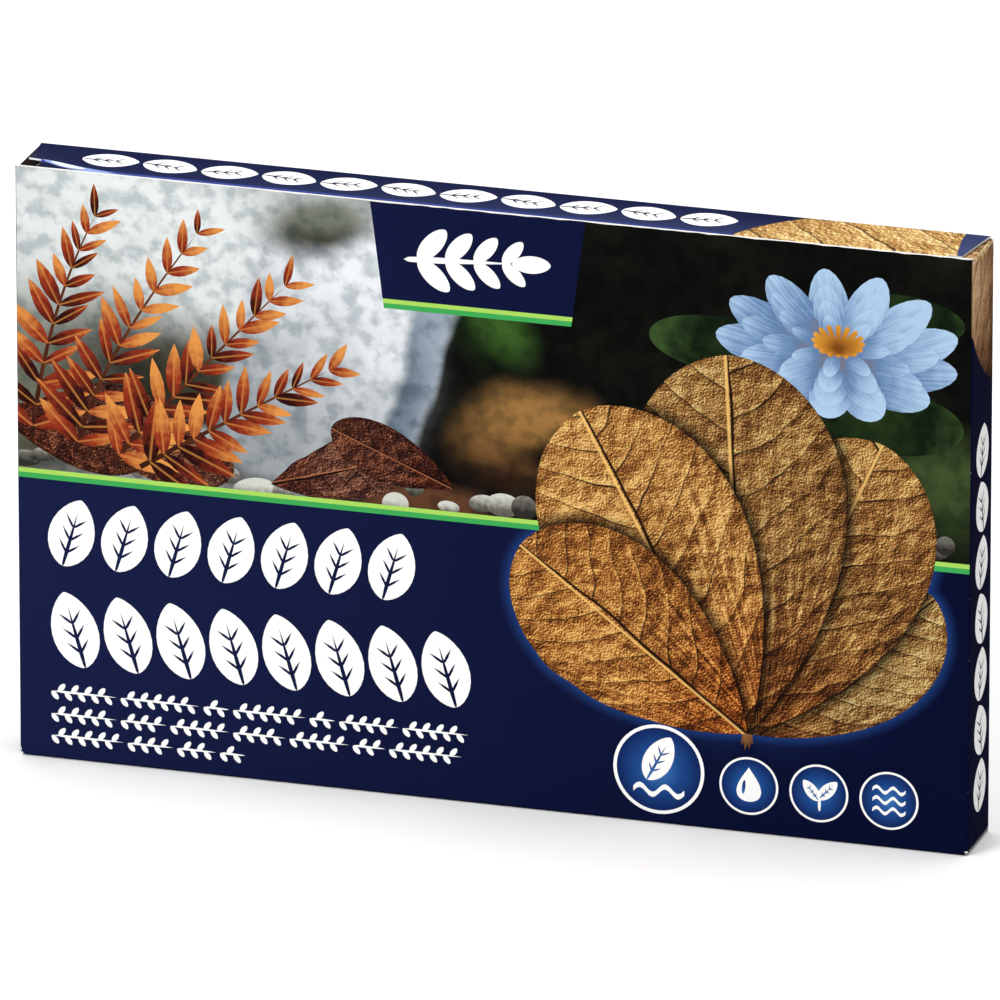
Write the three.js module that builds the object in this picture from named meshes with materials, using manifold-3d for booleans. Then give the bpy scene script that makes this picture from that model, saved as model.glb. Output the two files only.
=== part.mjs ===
// Flat folding carton of thin boxboard, closed, with twelve dried leaves standing inside it.
// It is a reverse-tuck-end carton: the top closure hinges on the back wall and tucks behind
// the front wall, the bottom closure hinges on the front wall and tucks behind the back wall.
// Millimetres, +Z up. The origin is the middle of the underside, and the front wall faces -Y.

import * as THREE from 'three';
import { mergeVertices } from 'three/addons/utils/BufferGeometryUtils.js';
import Module from 'manifold-3d';

const wasm = await Module();
wasm.setup();

// Driving dimensions of the carton
const WIDTH = 260;
const DEPTH = 20;
const HEIGHT = 164;
const BOARD = 0.5;
const CLEARANCE = 0.3; // between sheets that lie on or slide past each other
const CREASE_GAP = 0.5; // from a crease's axis to the stiff board on either side
const FOLD_RADIUS = 0.8; // outside of a vertical fold
const SEAM_SWEEP = 65; // degrees of the open fold that show beside the glued seam

// Glue flap, hinged on the back wall and stuck inside the left wall
const GLUE_FLAP_WIDTH = 13;
const GLUE_FLAP_INSET = 4;
const GLUE_FLAP_TAPER = 4;
const GLUE_BITE = 0.1; // the glued faces are one body, so the flap is sunk this deep

// Closures: a tapered panel, a rounded crease and a tuck flap curved round the hinge
const PANEL_INSET_HINGE = 0.8;
const PANEL_INSET_FRONT = 3.5;
const TUCK_LENGTH = 9.5;
const TUCK_CORNER = 6;
const TUCK_CREASE_RADIUS = 0.55; // to the middle of the board
const SLIT_LENGTH = 3.5; // lock slit at each end of the tuck crease
const SLIT_WIDTH = 0.3;

// Dust flaps: the edge beside the closure's hinge runs back at the rate at which they follow it
const DUST_LENGTH = 21;
const DUST_HINGE_INSET = 0.9;
const DUST_FOLLOWS = 0.42; // turn of a dust flap for each degree of its closure
const DUST_FRONT_TAPER = 2.2;
const DUST_CORNER = 2;

// Dried leaves
const LEAF_COUNT = 12;
const LEAF_PITCH = 1.1;
const LEAF_THICKNESS = 0.6;
const LEAF_LENGTH = [204, 228];
const LEAF_BREADTH = [118, 134];
const LEAF_TILT = 1.6; // degrees either way
const LEAF_SHIFT = 7; // along the carton, either way
const LEAF_WIDEST = 0.62; // share of the length from the stalk
const LEAF_BASE_POWER = 0.92;
const LEAF_STALK = 9;
const LEAF_STALK_HALF = 1.4;
const LEAF_TIP_HALF = 0.9;
const LEAF_RIB_RISE = 0.15;
const LEAF_WAVE = 0.95;
const LEAF_WAVE_LENGTH = 128;
const LEAF_STATIONS = 16;
const LEAF_COLUMNS = [-1, -0.66, -0.33, -0.035, 0, 0.035, 0.33, 0.66, 1];
const LEAF_SEED = 4127;

const ARC_STEPS = 6;
const MARGIN = 1; // how far a cutter reaches past what it cuts

const boardPrint = new THREE.MeshStandardMaterial({ color: 0x171d43, roughness: 0.32, metalness: 0 });
const leafBrown = new THREE.MeshStandardMaterial({ color: 0x7a4b28, roughness: 0.8, metalness: 0 });

// Places worked out from the driving dimensions. The top closure's hinge axis runs along X.
const halfWidth = WIDTH / 2;
const halfDepth = DEPTH / 2;
const hingeY = halfDepth - BOARD / 2;
const hingeZ = HEIGHT - BOARD / 2;
const tuckOuter = DEPTH - 1.5 * BOARD - CLEARANCE;
const tuckMiddle = tuckOuter - BOARD / 2;
const dustMiddle = BOARD + CLEARANCE + BOARD / 2; // below the carton's top
const sideWallEnd = dustMiddle + CREASE_GAP;
const creaseWallEnd = BOARD / 2 + CREASE_GAP;

const AXES = {
  x: [new THREE.Vector3(0, 1, 0), new THREE.Vector3(0, 0, 1), new THREE.Vector3(1, 0, 0)],
  y: [new THREE.Vector3(0, 0, 1), new THREE.Vector3(1, 0, 0), new THREE.Vector3(0, 1, 0)],
  z: [new THREE.Vector3(1, 0, 0), new THREE.Vector3(0, 1, 0), new THREE.Vector3(0, 0, 1)],
};

// Solid of a closed geometry
function solidOf(geometry) {
  geometry.deleteAttribute('normal');
  geometry.deleteAttribute('uv');
  const merged = mergeVertices(geometry, 1e-4);
  return new wasm.Manifold(new wasm.Mesh({
    numProp: 3,
    vertProperties: new Float32Array(merged.attributes.position.array),
    triVerts: new Uint32Array(merged.index.array),
  }));
}

// Outline pushed along one axis: x takes it as (y, z), y takes it as (z, x) and z as (x, y)
function prism(shape, axis, from, to) {
  const geometry = new THREE.ExtrudeGeometry(shape, {
    depth: to - from, bevelEnabled: false, curveSegments: ARC_STEPS,
  });
  geometry.translate(0, 0, from);
  geometry.applyMatrix4(new THREE.Matrix4().makeBasis(...AXES[axis]));
  return solidOf(geometry);
}

// Box between two corners
function block(low, high) {
  const geometry = new THREE.BoxGeometry(high[0] - low[0], high[1] - low[1], high[2] - low[2]);
  geometry.translate((low[0] + high[0]) / 2, (low[1] + high[1]) / 2, (low[2] + high[2]) / 2);
  return solidOf(geometry);
}

// Named mesh of a solid
function pieceOf(name, solid, material) {
  const { vertProperties, triVerts } = solid.getMesh();
  const geometry = new THREE.BufferGeometry();
  geometry.setAttribute('position', new THREE.BufferAttribute(new Float32Array(vertProperties), 3));
  geometry.setIndex(new THREE.BufferAttribute(new Uint32Array(triVerts), 1));
  geometry.computeVertexNormals();
  return namedMesh(name, geometry, material);
}

function namedMesh(name, geometry, material) {
  const mesh = new THREE.Mesh(geometry, material);
  mesh.name = name;
  return mesh;
}

// The sleeve

// Rectangle of the walls seen from above: every fold is round but the glued one
function wallOutline(inset, radius, glued) {
  const x = halfWidth - inset;
  const y = halfDepth - inset;
  const shape = new THREE.Shape();
  shape.moveTo(-x + radius, -y);
  shape.absarc(x - radius, -y + radius, radius, -Math.PI / 2, 0);
  shape.absarc(x - radius, y - radius, radius, 0, Math.PI / 2);
  if (glued) shape.lineTo(-x, y);
  else shape.absarc(-x + radius, y - radius, radius, Math.PI / 2, Math.PI);
  shape.absarc(-x + radius, -y + radius, radius, Math.PI, 1.5 * Math.PI);
  return shape;
}

// Wedge left open between the left wall's raw edge and the back wall's fold
function seamNotch() {
  const left = -halfWidth + BOARD;
  const centre = [left + FOLD_RADIUS, halfDepth - FOLD_RADIUS];
  const sweep = THREE.MathUtils.degToRad(SEAM_SWEEP);
  const shape = new THREE.Shape();
  shape.moveTo(left, halfDepth + MARGIN);
  shape.lineTo(left, halfDepth - FOLD_RADIUS * (1 - Math.cos(sweep)));
  shape.absarc(...centre, FOLD_RADIUS, Math.PI / 2 + sweep, Math.PI / 2, true);
  shape.lineTo(left + FOLD_RADIUS, halfDepth + MARGIN);
  return prism(shape, 'z', -MARGIN, HEIGHT + MARGIN);
}

function glueFlap() {
  const low = halfDepth - GLUE_FLAP_WIDTH;
  const high = halfDepth - BOARD + GLUE_BITE;
  const shape = new THREE.Shape([
    new THREE.Vector2(low, GLUE_FLAP_INSET + GLUE_FLAP_TAPER),
    new THREE.Vector2(high, GLUE_FLAP_INSET),
    new THREE.Vector2(high, HEIGHT - GLUE_FLAP_INSET),
    new THREE.Vector2(low, HEIGHT - GLUE_FLAP_INSET - GLUE_FLAP_TAPER),
  ]);
  return prism(shape, 'x', -halfWidth + BOARD - GLUE_BITE, -halfWidth + 2 * BOARD);
}

// Cutter over the top ends of the side and back walls, which stop at their creases
function topTrim() {
  const outside = halfWidth + MARGIN;
  const behind = halfDepth + MARGIN;
  const above = HEIGHT + MARGIN;
  const straight = halfDepth - FOLD_RADIUS;
  const sides = block([-outside, -straight, HEIGHT - sideWallEnd], [outside, straight, above]);
  const back = block([-outside, straight, HEIGHT - creaseWallEnd], [outside, behind, above]);
  return sides.add(back);
}

// The carton's two ends are alike: the lower one is the upper one turned half round about X
function upsideDown(solid) {
  return solid.rotate([180, 0, 0]).translate([0, 0, HEIGHT]);
}

function sleeve() {
  const walls = prism(wallOutline(0, FOLD_RADIUS, true), 'z', 0, HEIGHT)
    .subtract(prism(wallOutline(BOARD, FOLD_RADIUS - BOARD, false), 'z', -MARGIN, HEIGHT + MARGIN));
  const trim = topTrim();
  return walls.add(glueFlap()).subtract(seamNotch()).subtract(trim).subtract(upsideDown(trim));
}

// The closures

// Middle line of the bent closure in (y, z), from beside its hinge to the end of the tuck flap
function closureLine() {
  const points = [new THREE.Vector2(hingeY - CREASE_GAP, hingeZ)];
  const bendY = hingeY - tuckMiddle + TUCK_CREASE_RADIUS;
  const bendZ = hingeZ - TUCK_CREASE_RADIUS;
  for (let i = 0; i <= ARC_STEPS; i += 1) {
    const turn = (Math.PI / 2) * (1 + i / ARC_STEPS);
    points.push(new THREE.Vector2(
      bendY + TUCK_CREASE_RADIUS * Math.cos(turn), bendZ + TUCK_CREASE_RADIUS * Math.sin(turn),
    ));
  }
  const start = TUCK_CREASE_RADIUS / tuckMiddle;
  const sweep = TUCK_LENGTH / tuckMiddle;
  for (let i = 1; i <= ARC_STEPS; i += 1) {
    const turn = start + (sweep * i) / ARC_STEPS;
    const out = new THREE.Vector2(Math.cos(turn), Math.sin(turn)).multiplyScalar(tuckMiddle);
    points.push(new THREE.Vector2(hingeY, hingeZ).sub(out));
  }
  return points;
}

// Outline of a sheet of even thickness along a middle line
function sheetOutline(line, thickness) {
  const sideOf = (sign) => line.map((point, i) => {
    const before = line[Math.max(i - 1, 0)];
    const after = line[Math.min(i + 1, line.length - 1)];
    const along = after.clone().sub(before).normalize();
    const across = new THREE.Vector2(-along.y, along.x);
    return point.clone().addScaledVector(across, (sign * thickness) / 2);
  });
  return new THREE.Shape([...sideOf(1), ...sideOf(-1).reverse()]);
}

// Closure seen from above: its panel narrows towards the tuck crease
function closurePlan() {
  return new THREE.Shape([
    new THREE.Vector2(halfWidth - PANEL_INSET_HINGE, halfDepth),
    new THREE.Vector2(-halfWidth + PANEL_INSET_HINGE, halfDepth),
    new THREE.Vector2(-halfWidth + PANEL_INSET_FRONT, -halfDepth),
    new THREE.Vector2(halfWidth - PANEL_INSET_FRONT, -halfDepth),
  ]);
}

// Tuck flap seen from the front, as (z, x), with its free corners rounded and the panel above it
function tuckPlan() {
  const side = halfWidth - PANEL_INSET_FRONT;
  const low = hingeZ - tuckMiddle * Math.sin((TUCK_CREASE_RADIUS + TUCK_LENGTH) / tuckMiddle) - BOARD;
  const shape = new THREE.Shape();
  shape.moveTo(HEIGHT + MARGIN, halfWidth);
  shape.lineTo(HEIGHT - BOARD, halfWidth);
  shape.lineTo(HEIGHT - BOARD, side);
  shape.absarc(low + TUCK_CORNER, side - TUCK_CORNER, TUCK_CORNER, Math.PI / 2, Math.PI);
  shape.absarc(low + TUCK_CORNER, -side + TUCK_CORNER, TUCK_CORNER, Math.PI, 1.5 * Math.PI);
  shape.lineTo(HEIGHT - BOARD, -side);
  shape.lineTo(HEIGHT - BOARD, -halfWidth);
  shape.lineTo(HEIGHT + MARGIN, -halfWidth);
  return shape;
}

// Slit at one end of the tuck crease, which the dust flap's shoulder catches in
function lockSlit(side) {
  const outer = side * halfWidth;
  const inner = side * (halfWidth - PANEL_INSET_FRONT - SLIT_LENGTH);
  const top = HEIGHT - BOARD;
  return block(
    [Math.min(outer, inner), -halfDepth, top - SLIT_WIDTH],
    [Math.max(outer, inner), hingeY - tuckOuter + 2 * BOARD, top],
  );
}

function topClosure() {
  return prism(sheetOutline(closureLine(), BOARD), 'x', -halfWidth, halfWidth)
    .intersect(prism(closurePlan(), 'z', 0, HEIGHT + MARGIN))
    .intersect(prism(tuckPlan(), 'y', -halfDepth, halfDepth))
    .subtract(lockSlit(1))
    .subtract(lockSlit(-1));
}

// The dust flaps

// Right-hand top dust flap seen from above, hinged at the right
function dustPlan() {
  const hingeX = halfWidth - BOARD / 2;
  const backEdge = (out) => hingeY - DUST_HINGE_INSET - DUST_FOLLOWS * out;
  const front = hingeY - tuckOuter + BOARD + CLEARANCE;
  const frontEdge = (out) => front + (DUST_FRONT_TAPER * out) / DUST_LENGTH;
  const free = hingeX - DUST_LENGTH;
  const root = hingeX - CREASE_GAP;
  const shape = new THREE.Shape();
  shape.moveTo(root, frontEdge(CREASE_GAP));
  shape.lineTo(root, backEdge(CREASE_GAP));
  shape.lineTo(free + DUST_CORNER, backEdge(DUST_LENGTH - DUST_CORNER));
  shape.quadraticCurveTo(free, backEdge(DUST_LENGTH), free, backEdge(DUST_LENGTH) - DUST_CORNER);
  shape.lineTo(free, frontEdge(DUST_LENGTH) + DUST_CORNER);
  shape.quadraticCurveTo(
    free, frontEdge(DUST_LENGTH), free + DUST_CORNER, frontEdge(DUST_LENGTH - DUST_CORNER),
  );
  return shape;
}

function topDustFlap(side) {
  const middle = HEIGHT - dustMiddle;
  const flap = prism(dustPlan(), 'z', middle - BOARD / 2, middle + BOARD / 2);
  return side > 0 ? flap : flap.mirror([1, 0, 0]);
}

// The leaves

// Even random numbers from 0 to 1, the same on every run
function seededRandom(seed) {
  let state = seed;
  return () => {
    state = (state * 1664525 + 1013904223) % 4294967296;
    return state / 4294967296;
  };
}

// Wave that the whole stack shares, so that the leaves lie nested and none crosses another
function stackWave(x, z) {
  const along = (2 * Math.PI * x) / LEAF_WAVE_LENGTH;
  const up = (2 * Math.PI * z) / LEAF_WAVE_LENGTH;
  const broad = Math.sin(along + 0.7 * up + 0.6);
  const fine = Math.sin(1.7 * up - 0.8 * along + 2.1);
  return LEAF_WAVE * (0.6 * broad + 0.4 * fine);
}

// Half the breadth of a blade at a share of its length: broadest past the middle, wedge-shaped base
function bladeHalf(share, breadth) {
  const tipPower = LEAF_BASE_POWER * (1 / LEAF_WIDEST - 1);
  const rise = (share / LEAF_WIDEST) ** LEAF_BASE_POWER;
  const fall = ((1 - share) / (1 - LEAF_WIDEST)) ** tipPower;
  return (breadth / 2) * rise * fall;
}

// One leaf's own draw: sizes, place, tilt, which way its stalk points, and its edge's waves
function leafDraw(random, index) {
  const between = ([low, high]) => low + (high - low) * random();
  return {
    length: between(LEAF_LENGTH),
    breadth: between(LEAF_BREADTH),
    shift: between([-LEAF_SHIFT, LEAF_SHIFT]),
    tilt: THREE.MathUtils.degToRad(between([-LEAF_TILT, LEAF_TILT])),
    points: index % 3 === 1 ? -1 : 1,
    phases: [random(), random(), random(), random()].map((value) => value * 2 * Math.PI),
  };
}

// Vertex grid of one leaf before it is lifted onto the carton's bottom: rows of [x, z]
function leafGrid(draw) {
  const rows = [];
  for (let i = 0; i <= LEAF_STATIONS; i += 1) {
    const share = (1 - Math.cos((Math.PI * i) / LEAF_STATIONS)) / 2;
    const along = share * draw.length;
    const blade = Math.max(0, (along - LEAF_STALK) / (draw.length - LEAF_STALK));
    const least = share < 0.5 ? LEAF_STALK_HALF : LEAF_TIP_HALF;
    rows.push(LEAF_COLUMNS.map((column) => {
      const [phaseA, phaseB] = column < 0 ? draw.phases : draw.phases.slice(2);
      const ragged = 1 + 0.03 * Math.sin(19 * blade + phaseA) + 0.02 * Math.sin(37 * blade + phaseB);
      const half = Math.max(least, bladeHalf(blade, draw.breadth) * ragged);
      const place = new THREE.Vector2(draw.points * (along - draw.length / 2) + draw.shift, column * half);
      return place.rotateAround(new THREE.Vector2(), draw.tilt).toArray();
    }));
  }
  return rows;
}

// Closed blade: a front and a back face split alike, joined all round their edge
function leafGeometry(draw, y) {
  const grid = leafGrid(draw);
  const lowest = Math.min(...grid.flat().map(([, z]) => z));
  const lift = BOARD + CLEARANCE - lowest;
  const positions = [];
  for (const back of [0, 1]) {
    grid.forEach((row) => row.forEach(([x, z], column) => {
      const rib = back === 0 && LEAF_COLUMNS[column] === 0 ? LEAF_RIB_RISE : 0;
      positions.push(x, y + stackWave(x, z + lift) + back * LEAF_THICKNESS - rib, z + lift);
    }));
  }
  const columns = LEAF_COLUMNS.length;
  const perFace = grid.length * columns;
  const at = (i, j, back) => back * perFace + i * columns + j;
  const index = [];
  const quad = (a, b, c, d) => index.push(a, b, c, a, c, d);
  for (let i = 0; i < grid.length - 1; i += 1) {
    for (let j = 0; j < columns - 1; j += 1) {
      quad(at(i, j, 0), at(i + 1, j, 0), at(i + 1, j + 1, 0), at(i, j + 1, 0));
      index.push(at(i, j, 1), at(i + 1, j + 1, 1), at(i + 1, j, 1));
      index.push(at(i, j, 1), at(i, j + 1, 1), at(i + 1, j + 1, 1));
    }
    const end = columns - 1;
    quad(at(i, 0, 1), at(i + 1, 0, 1), at(i + 1, 0, 0), at(i, 0, 0));
    quad(at(i, end, 0), at(i + 1, end, 0), at(i + 1, end, 1), at(i, end, 1));
  }
  const last = grid.length - 1;
  for (let j = 0; j < columns - 1; j += 1) {
    quad(at(0, j, 0), at(0, j + 1, 0), at(0, j + 1, 1), at(0, j, 1));
    quad(at(last, j, 1), at(last, j + 1, 1), at(last, j + 1, 0), at(last, j, 0));
  }
  if (draw.points < 0) index.reverse();
  const geometry = new THREE.BufferGeometry();
  geometry.setAttribute('position', new THREE.BufferAttribute(new Float32Array(positions), 3));
  geometry.setIndex(index);
  geometry.computeVertexNormals();
  return geometry;
}

function leafStack() {
  const random = seededRandom(LEAF_SEED);
  const frontmost = -halfDepth + BOARD + 2 * CLEARANCE + LEAF_RIB_RISE + LEAF_WAVE;
  const stack = new THREE.Group();
  for (let i = 0; i < LEAF_COUNT; i += 1) {
    const name = `leaf_${String(i + 1).padStart(2, '0')}`;
    const geometry = leafGeometry(leafDraw(random, i), frontmost + i * LEAF_PITCH);
    stack.add(namedMesh(name, geometry, leafBrown));
  }
  return stack;
}

const carton = new THREE.Group();
const closure = topClosure();
const dustRight = topDustFlap(1);
const dustLeft = topDustFlap(-1);
carton.add(
  pieceOf('sleeve', sleeve(), boardPrint),
  pieceOf('top_closure', closure, boardPrint),
  pieceOf('top_left_dust_flap', dustLeft, boardPrint),
  pieceOf('top_right_dust_flap', dustRight, boardPrint),
  pieceOf('bottom_closure', upsideDown(closure), boardPrint),
  pieceOf('bottom_left_dust_flap', upsideDown(dustLeft), boardPrint),
  pieceOf('bottom_right_dust_flap', upsideDown(dustRight), boardPrint),
);

const group = new THREE.Group();
group.add(carton, leafStack());
export default group;
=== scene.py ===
"""Looks of a slim folding carton of dried leaves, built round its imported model.

Each piece of board is a flat sheet with its print laid out on it as shapes, folded into place at its
real thickness. The dried leaves stand inside. Lengths are in millimetres until a mesh is made.
"""

import logging
import random
from dataclasses import dataclass, field, replace
from enum import Enum
from functools import cache, partial, reduce
from math import atan2, ceil, cos, degrees, dist, hypot, pi, radians, sin
from typing import Sequence

import bpy
import numpy as np
from bpy.types import ID, Material, Mesh, Node, NodeSocket, Object, World
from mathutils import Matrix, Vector
from mathutils.geometry import delaunay_2d_cdt


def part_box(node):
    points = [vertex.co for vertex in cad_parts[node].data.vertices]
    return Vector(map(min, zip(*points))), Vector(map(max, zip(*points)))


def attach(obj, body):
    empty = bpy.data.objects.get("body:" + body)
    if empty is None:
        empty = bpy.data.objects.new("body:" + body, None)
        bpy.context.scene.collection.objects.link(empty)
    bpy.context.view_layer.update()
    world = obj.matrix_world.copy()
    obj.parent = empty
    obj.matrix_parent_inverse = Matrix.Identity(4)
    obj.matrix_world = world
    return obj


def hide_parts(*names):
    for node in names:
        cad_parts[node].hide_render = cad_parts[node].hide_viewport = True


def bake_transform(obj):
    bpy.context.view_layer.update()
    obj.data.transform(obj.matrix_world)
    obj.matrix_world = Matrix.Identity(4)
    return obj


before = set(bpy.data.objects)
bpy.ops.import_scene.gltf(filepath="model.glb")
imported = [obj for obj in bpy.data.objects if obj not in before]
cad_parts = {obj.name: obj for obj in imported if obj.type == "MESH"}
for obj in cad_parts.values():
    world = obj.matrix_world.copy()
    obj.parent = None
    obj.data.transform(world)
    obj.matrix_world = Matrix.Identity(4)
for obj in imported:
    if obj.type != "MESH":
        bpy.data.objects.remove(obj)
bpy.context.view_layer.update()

MM = 0.001
MERGE = 1e-4
LIT_STEP = 0.22
LOG = logging.getLogger("carton")

Array = np.ndarray
Point = tuple[float, float]
Place = tuple[float, float, float]
Outline = list[Point]
Colour = tuple[float, float, float, float]
Value = float | Colour | NodeSocket


class End(Enum):
    """The two ends of the carton."""

    TOP = "top"
    BOTTOM = "bottom"


class Side(Enum):
    """The two narrow sides of the carton, by their sign along X."""

    LEFT = -1
    RIGHT = 1


class Spread(Enum):
    """How the colours of a printed shape run over it."""

    ALONG = "along"
    ROUND = "round"


def ink(red: int, green: int, blue: int) -> Colour:
    """Linear colour of an 8-bit screen colour.

    Args:
        red: Red, 0 to 255.
        green: Green, 0 to 255.
        blue: Blue, 0 to 255.

    Returns:
        The colour with an alpha of 1.
    """
    shares = [value / 255 for value in (red, green, blue)]
    linear = [s / 12.92 if s <= 0.04045 else ((s + 0.055) / 1.055) ** 2.4 for s in shares]
    return (linear[0], linear[1], linear[2], 1.0)


WHITE_INK = ink(253, 253, 251)
RAW_BOARD = ink(236, 234, 230)


class Graph:
    """Node tree of a material or a world, with a short call for each kind of node in use."""

    def __init__(self, owner: Material | World) -> None:
        """Starts from the nodes that a new material or world comes with."""
        owner.use_nodes = True
        self.tree = owner.node_tree

    def feed(self, socket: NodeSocket, value: Value) -> None:
        """Links a socket to another one, or sets its value.

        Args:
            socket: The input to feed.
            value: Another node's output, or a plain value.
        """
        if isinstance(value, NodeSocket):
            self.tree.links.new(value, socket)
        else:
            socket.default_value = value

    def add(self, kind: str, inputs: dict[int | str, Value], **settings: object) -> Node:
        """Adds a node.

        Args:
            kind: Node type after "ShaderNode".
            inputs: Value for each input, by name or number.
            **settings: Properties of the node.

        Returns:
            The node.
        """
        node = self.tree.nodes.new("ShaderNode" + kind)
        for name, value in settings.items():
            setattr(node, name, value)
        for key, value in inputs.items():
            self.feed(node.inputs[key], value)
        return node

    def math(self, operation: str, first: Value, second: Value = 0.0, third: Value = 0.0) -> Value:
        """Output of a Math node."""
        return self.add("Math", {0: first, 1: second, 2: third}, operation=operation).outputs[0]

    def total(self, *terms: Value) -> Value:
        """Sum of several values."""
        return reduce(partial(self.math, "ADD"), terms)

    def times(self, *factors: Value) -> Value:
        """Product of several values."""
        return reduce(partial(self.math, "MULTIPLY"), factors)

    def line(self, value: Value, slope: Value, start: Value) -> Value:
        """A value times a slope, on top of a start."""
        return self.math("MULTIPLY_ADD", value, slope, start)

    def smooth(self, value: Value, low: Value, high: Value) -> Value:
        """Smooth step that is 0 at low and 1 at high, and may run downwards."""
        inputs = {0: value, 1: low, 2: high, 3: 0.0, 4: 1.0}
        return self.add("MapRange", inputs, interpolation_type="SMOOTHSTEP").outputs[0]

    def mix(self, factor: Value, first: Value, second: Value, mode: str = "MIX") -> Value:
        """Colour of a Mix node."""
        inputs = {0: factor, 6: first, 7: second}
        return self.add("Mix", inputs, data_type="RGBA", blend_type=mode).outputs[2]

    def ramp(self, value: Value, stops: Sequence[tuple[float, Colour]]) -> Value:
        """Colour of a ramp.

        Args:
            value: Place on the ramp, 0 to 1.
            stops: Place and colour of two or more stops.

        Returns:
            The colour output.
        """
        node = self.add("ValToRGB", {0: value})
        elements = node.color_ramp.elements
        for element, (position, colour) in zip(elements, (stops[0], stops[-1])):
            element.position = position
            element.color = colour
        for position, colour in stops[1:-1]:
            elements.new(position).color = colour
        return node.outputs[0]

    def noise(self, place: Value, size: float, detail: float = 2.0, distortion: float = 0.0) -> Value:
        """Noise from 0 to 1 whose features are about size long in the place's own units."""
        inputs = {"Vector": place, "Scale": 1 / size, "Detail": detail, "Distortion": distortion}
        return self.add("TexNoise", inputs).outputs[0]

    def sway(self, place: Value, size: float, reach: float, detail: float = 2.0) -> Value:
        """Noise that swings round 0 by half its reach either way."""
        return self.line(self.noise(place, size, detail), reach, -reach / 2)

    def emboss(self, place: Value, size: float, reach: float, detail: float = 2.0) -> Value:
        """Noise seen as relief lit from the upper left: bright and dark sides round 0.

        Args:
            place: Place on the sheet.
            size: Length of its features.
            reach: Its strength.
            detail: Detail of the noise.

        Returns:
            The light on the relief, round 0.
        """
        step = LIT_STEP * size
        moved = self.add("VectorMath", {0: place, 1: (step, -step, 0.0)}, operation="ADD")
        near = self.noise(place, size, detail)
        rise = self.math("SUBTRACT", self.noise(moved.outputs[0], size, detail), near)
        return self.times(rise, reach)

    def attribute(self, name: str, output: str = "Vector") -> Value:
        """Output of a mesh attribute."""
        return self.add("Attribute", {}, attribute_name=name).outputs[output]

    def split(self, vector: Value) -> tuple[Value, Value, Value]:
        """The three parts of a vector."""
        outputs = self.add("SeparateXYZ", {0: vector}).outputs
        return outputs[0], outputs[1], outputs[2]

    def join(self, x: Value, y: Value, z: Value = 0.0) -> Value:
        """Vector of three parts."""
        return self.add("CombineXYZ", {0: x, 1: y, 2: z}).outputs[0]

    def bump(self, height: Value, distance: float) -> Value:
        """Normal bent by a height from 0 to 1 that stands for a distance in millimetres."""
        inputs = {"Height": height, "Distance": distance * MM, "Strength": 1.0}
        return self.add("Bump", inputs).outputs[0]

    def shade(self, values: dict[str, Value], shader: str = "Principled BSDF") -> None:
        """Feeds the inputs of the shader, by their names."""
        for name, value in values.items():
            self.feed(self.tree.nodes[shader].inputs[name], value)


@dataclass(frozen=True)
class Finish:
    """A surface finish, made into a material once and then shared."""

    name: str

    @cache
    def material(self) -> Material:
        """Makes the material the first time, and gives the same one after that.

        Returns:
            The material.
        """
        made = bpy.data.materials.new(self.name)
        self.dress(Graph(made))
        return made

    def dress(self, graph: Graph) -> None:
        """Adds the finish's nodes.

        Args:
            graph: Nodes of the material.
        """
        raise NotImplementedError


@dataclass(frozen=True)
class RawPaper(Finish):
    """Bare board: its cut edge or its unprinted reverse."""

    tone: Colour = RAW_BOARD
    roughness: float = 0.85
    specular: float = 0.25

    def dress(self, graph: Graph) -> None:
        """Fibres, faint specks and a soft dull surface."""
        place = graph.attribute("sheet")
        fibre = graph.noise(place, 0.35, 4.0, 0.6)
        cloud = graph.noise(place, 9.0, 3.0)
        dark = tuple(channel * 0.86 for channel in self.tone[:3]) + (1.0,)
        colour = graph.mix(graph.times(fibre, cloud), self.tone, dark)
        speck = graph.smooth(graph.noise(place, 0.8, 1.0), 0.74, 0.8)
        colour = graph.mix(graph.times(speck, 0.25), colour, ink(150, 132, 110))
        graph.shade({"Base Color": colour, "Roughness": self.roughness,
                     "Normal": graph.bump(fibre, 0.02), "Specular IOR Level": self.specular})


@dataclass(frozen=True)
class PrintInk(Finish):
    """Ink under a thin satin varnish, rubbed through to the board where the sheet is worn."""

    roughness: float = 0.5
    coat: float = 0.22
    coat_roughness: float = 0.12
    specular: float = 0.04

    def tone(self, graph: Graph) -> Value:
        """Draws the ink itself.

        Args:
            graph: Nodes of the material.

        Returns:
            Its colour.
        """
        raise NotImplementedError

    def dress(self, graph: Graph) -> None:
        """Ink, wear and varnish."""
        place = graph.attribute("sheet")
        wear = graph.attribute("wear", "Fac")
        rubbed = graph.total(wear, graph.sway(place, 1.4, 0.9, 4.0))
        colour = graph.mix(graph.smooth(rubbed, 0.66, 0.84), self.tone(graph), RAW_BOARD)
        fibre = graph.noise(place, 0.5, 3.0)
        relief = graph.total(fibre, graph.times(graph.noise(place, 26.0, 1.0), 3.0))
        sheen = graph.line(graph.noise(place, 6.0, 3.0), 0.1, self.roughness - 0.05)
        graph.shade({"Base Color": colour, "Roughness": sheen, "Normal": graph.bump(relief, 0.012),
                     "Specular IOR Level": self.specular, "Coat Weight": self.coat,
                     "Coat Roughness": self.coat_roughness})


@dataclass(frozen=True)
class FlatInk(PrintInk):
    """Ink of one colour with the slight unevenness of a printed solid."""

    colour: Colour = WHITE_INK

    def tone(self, graph: Graph) -> Value:
        """The colour, a little uneven."""
        thin = tuple(channel * 0.93 for channel in self.colour[:3]) + (1.0,)
        return graph.mix(graph.noise(graph.attribute("sheet"), 11.0, 3.0), self.colour, thin)


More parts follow.
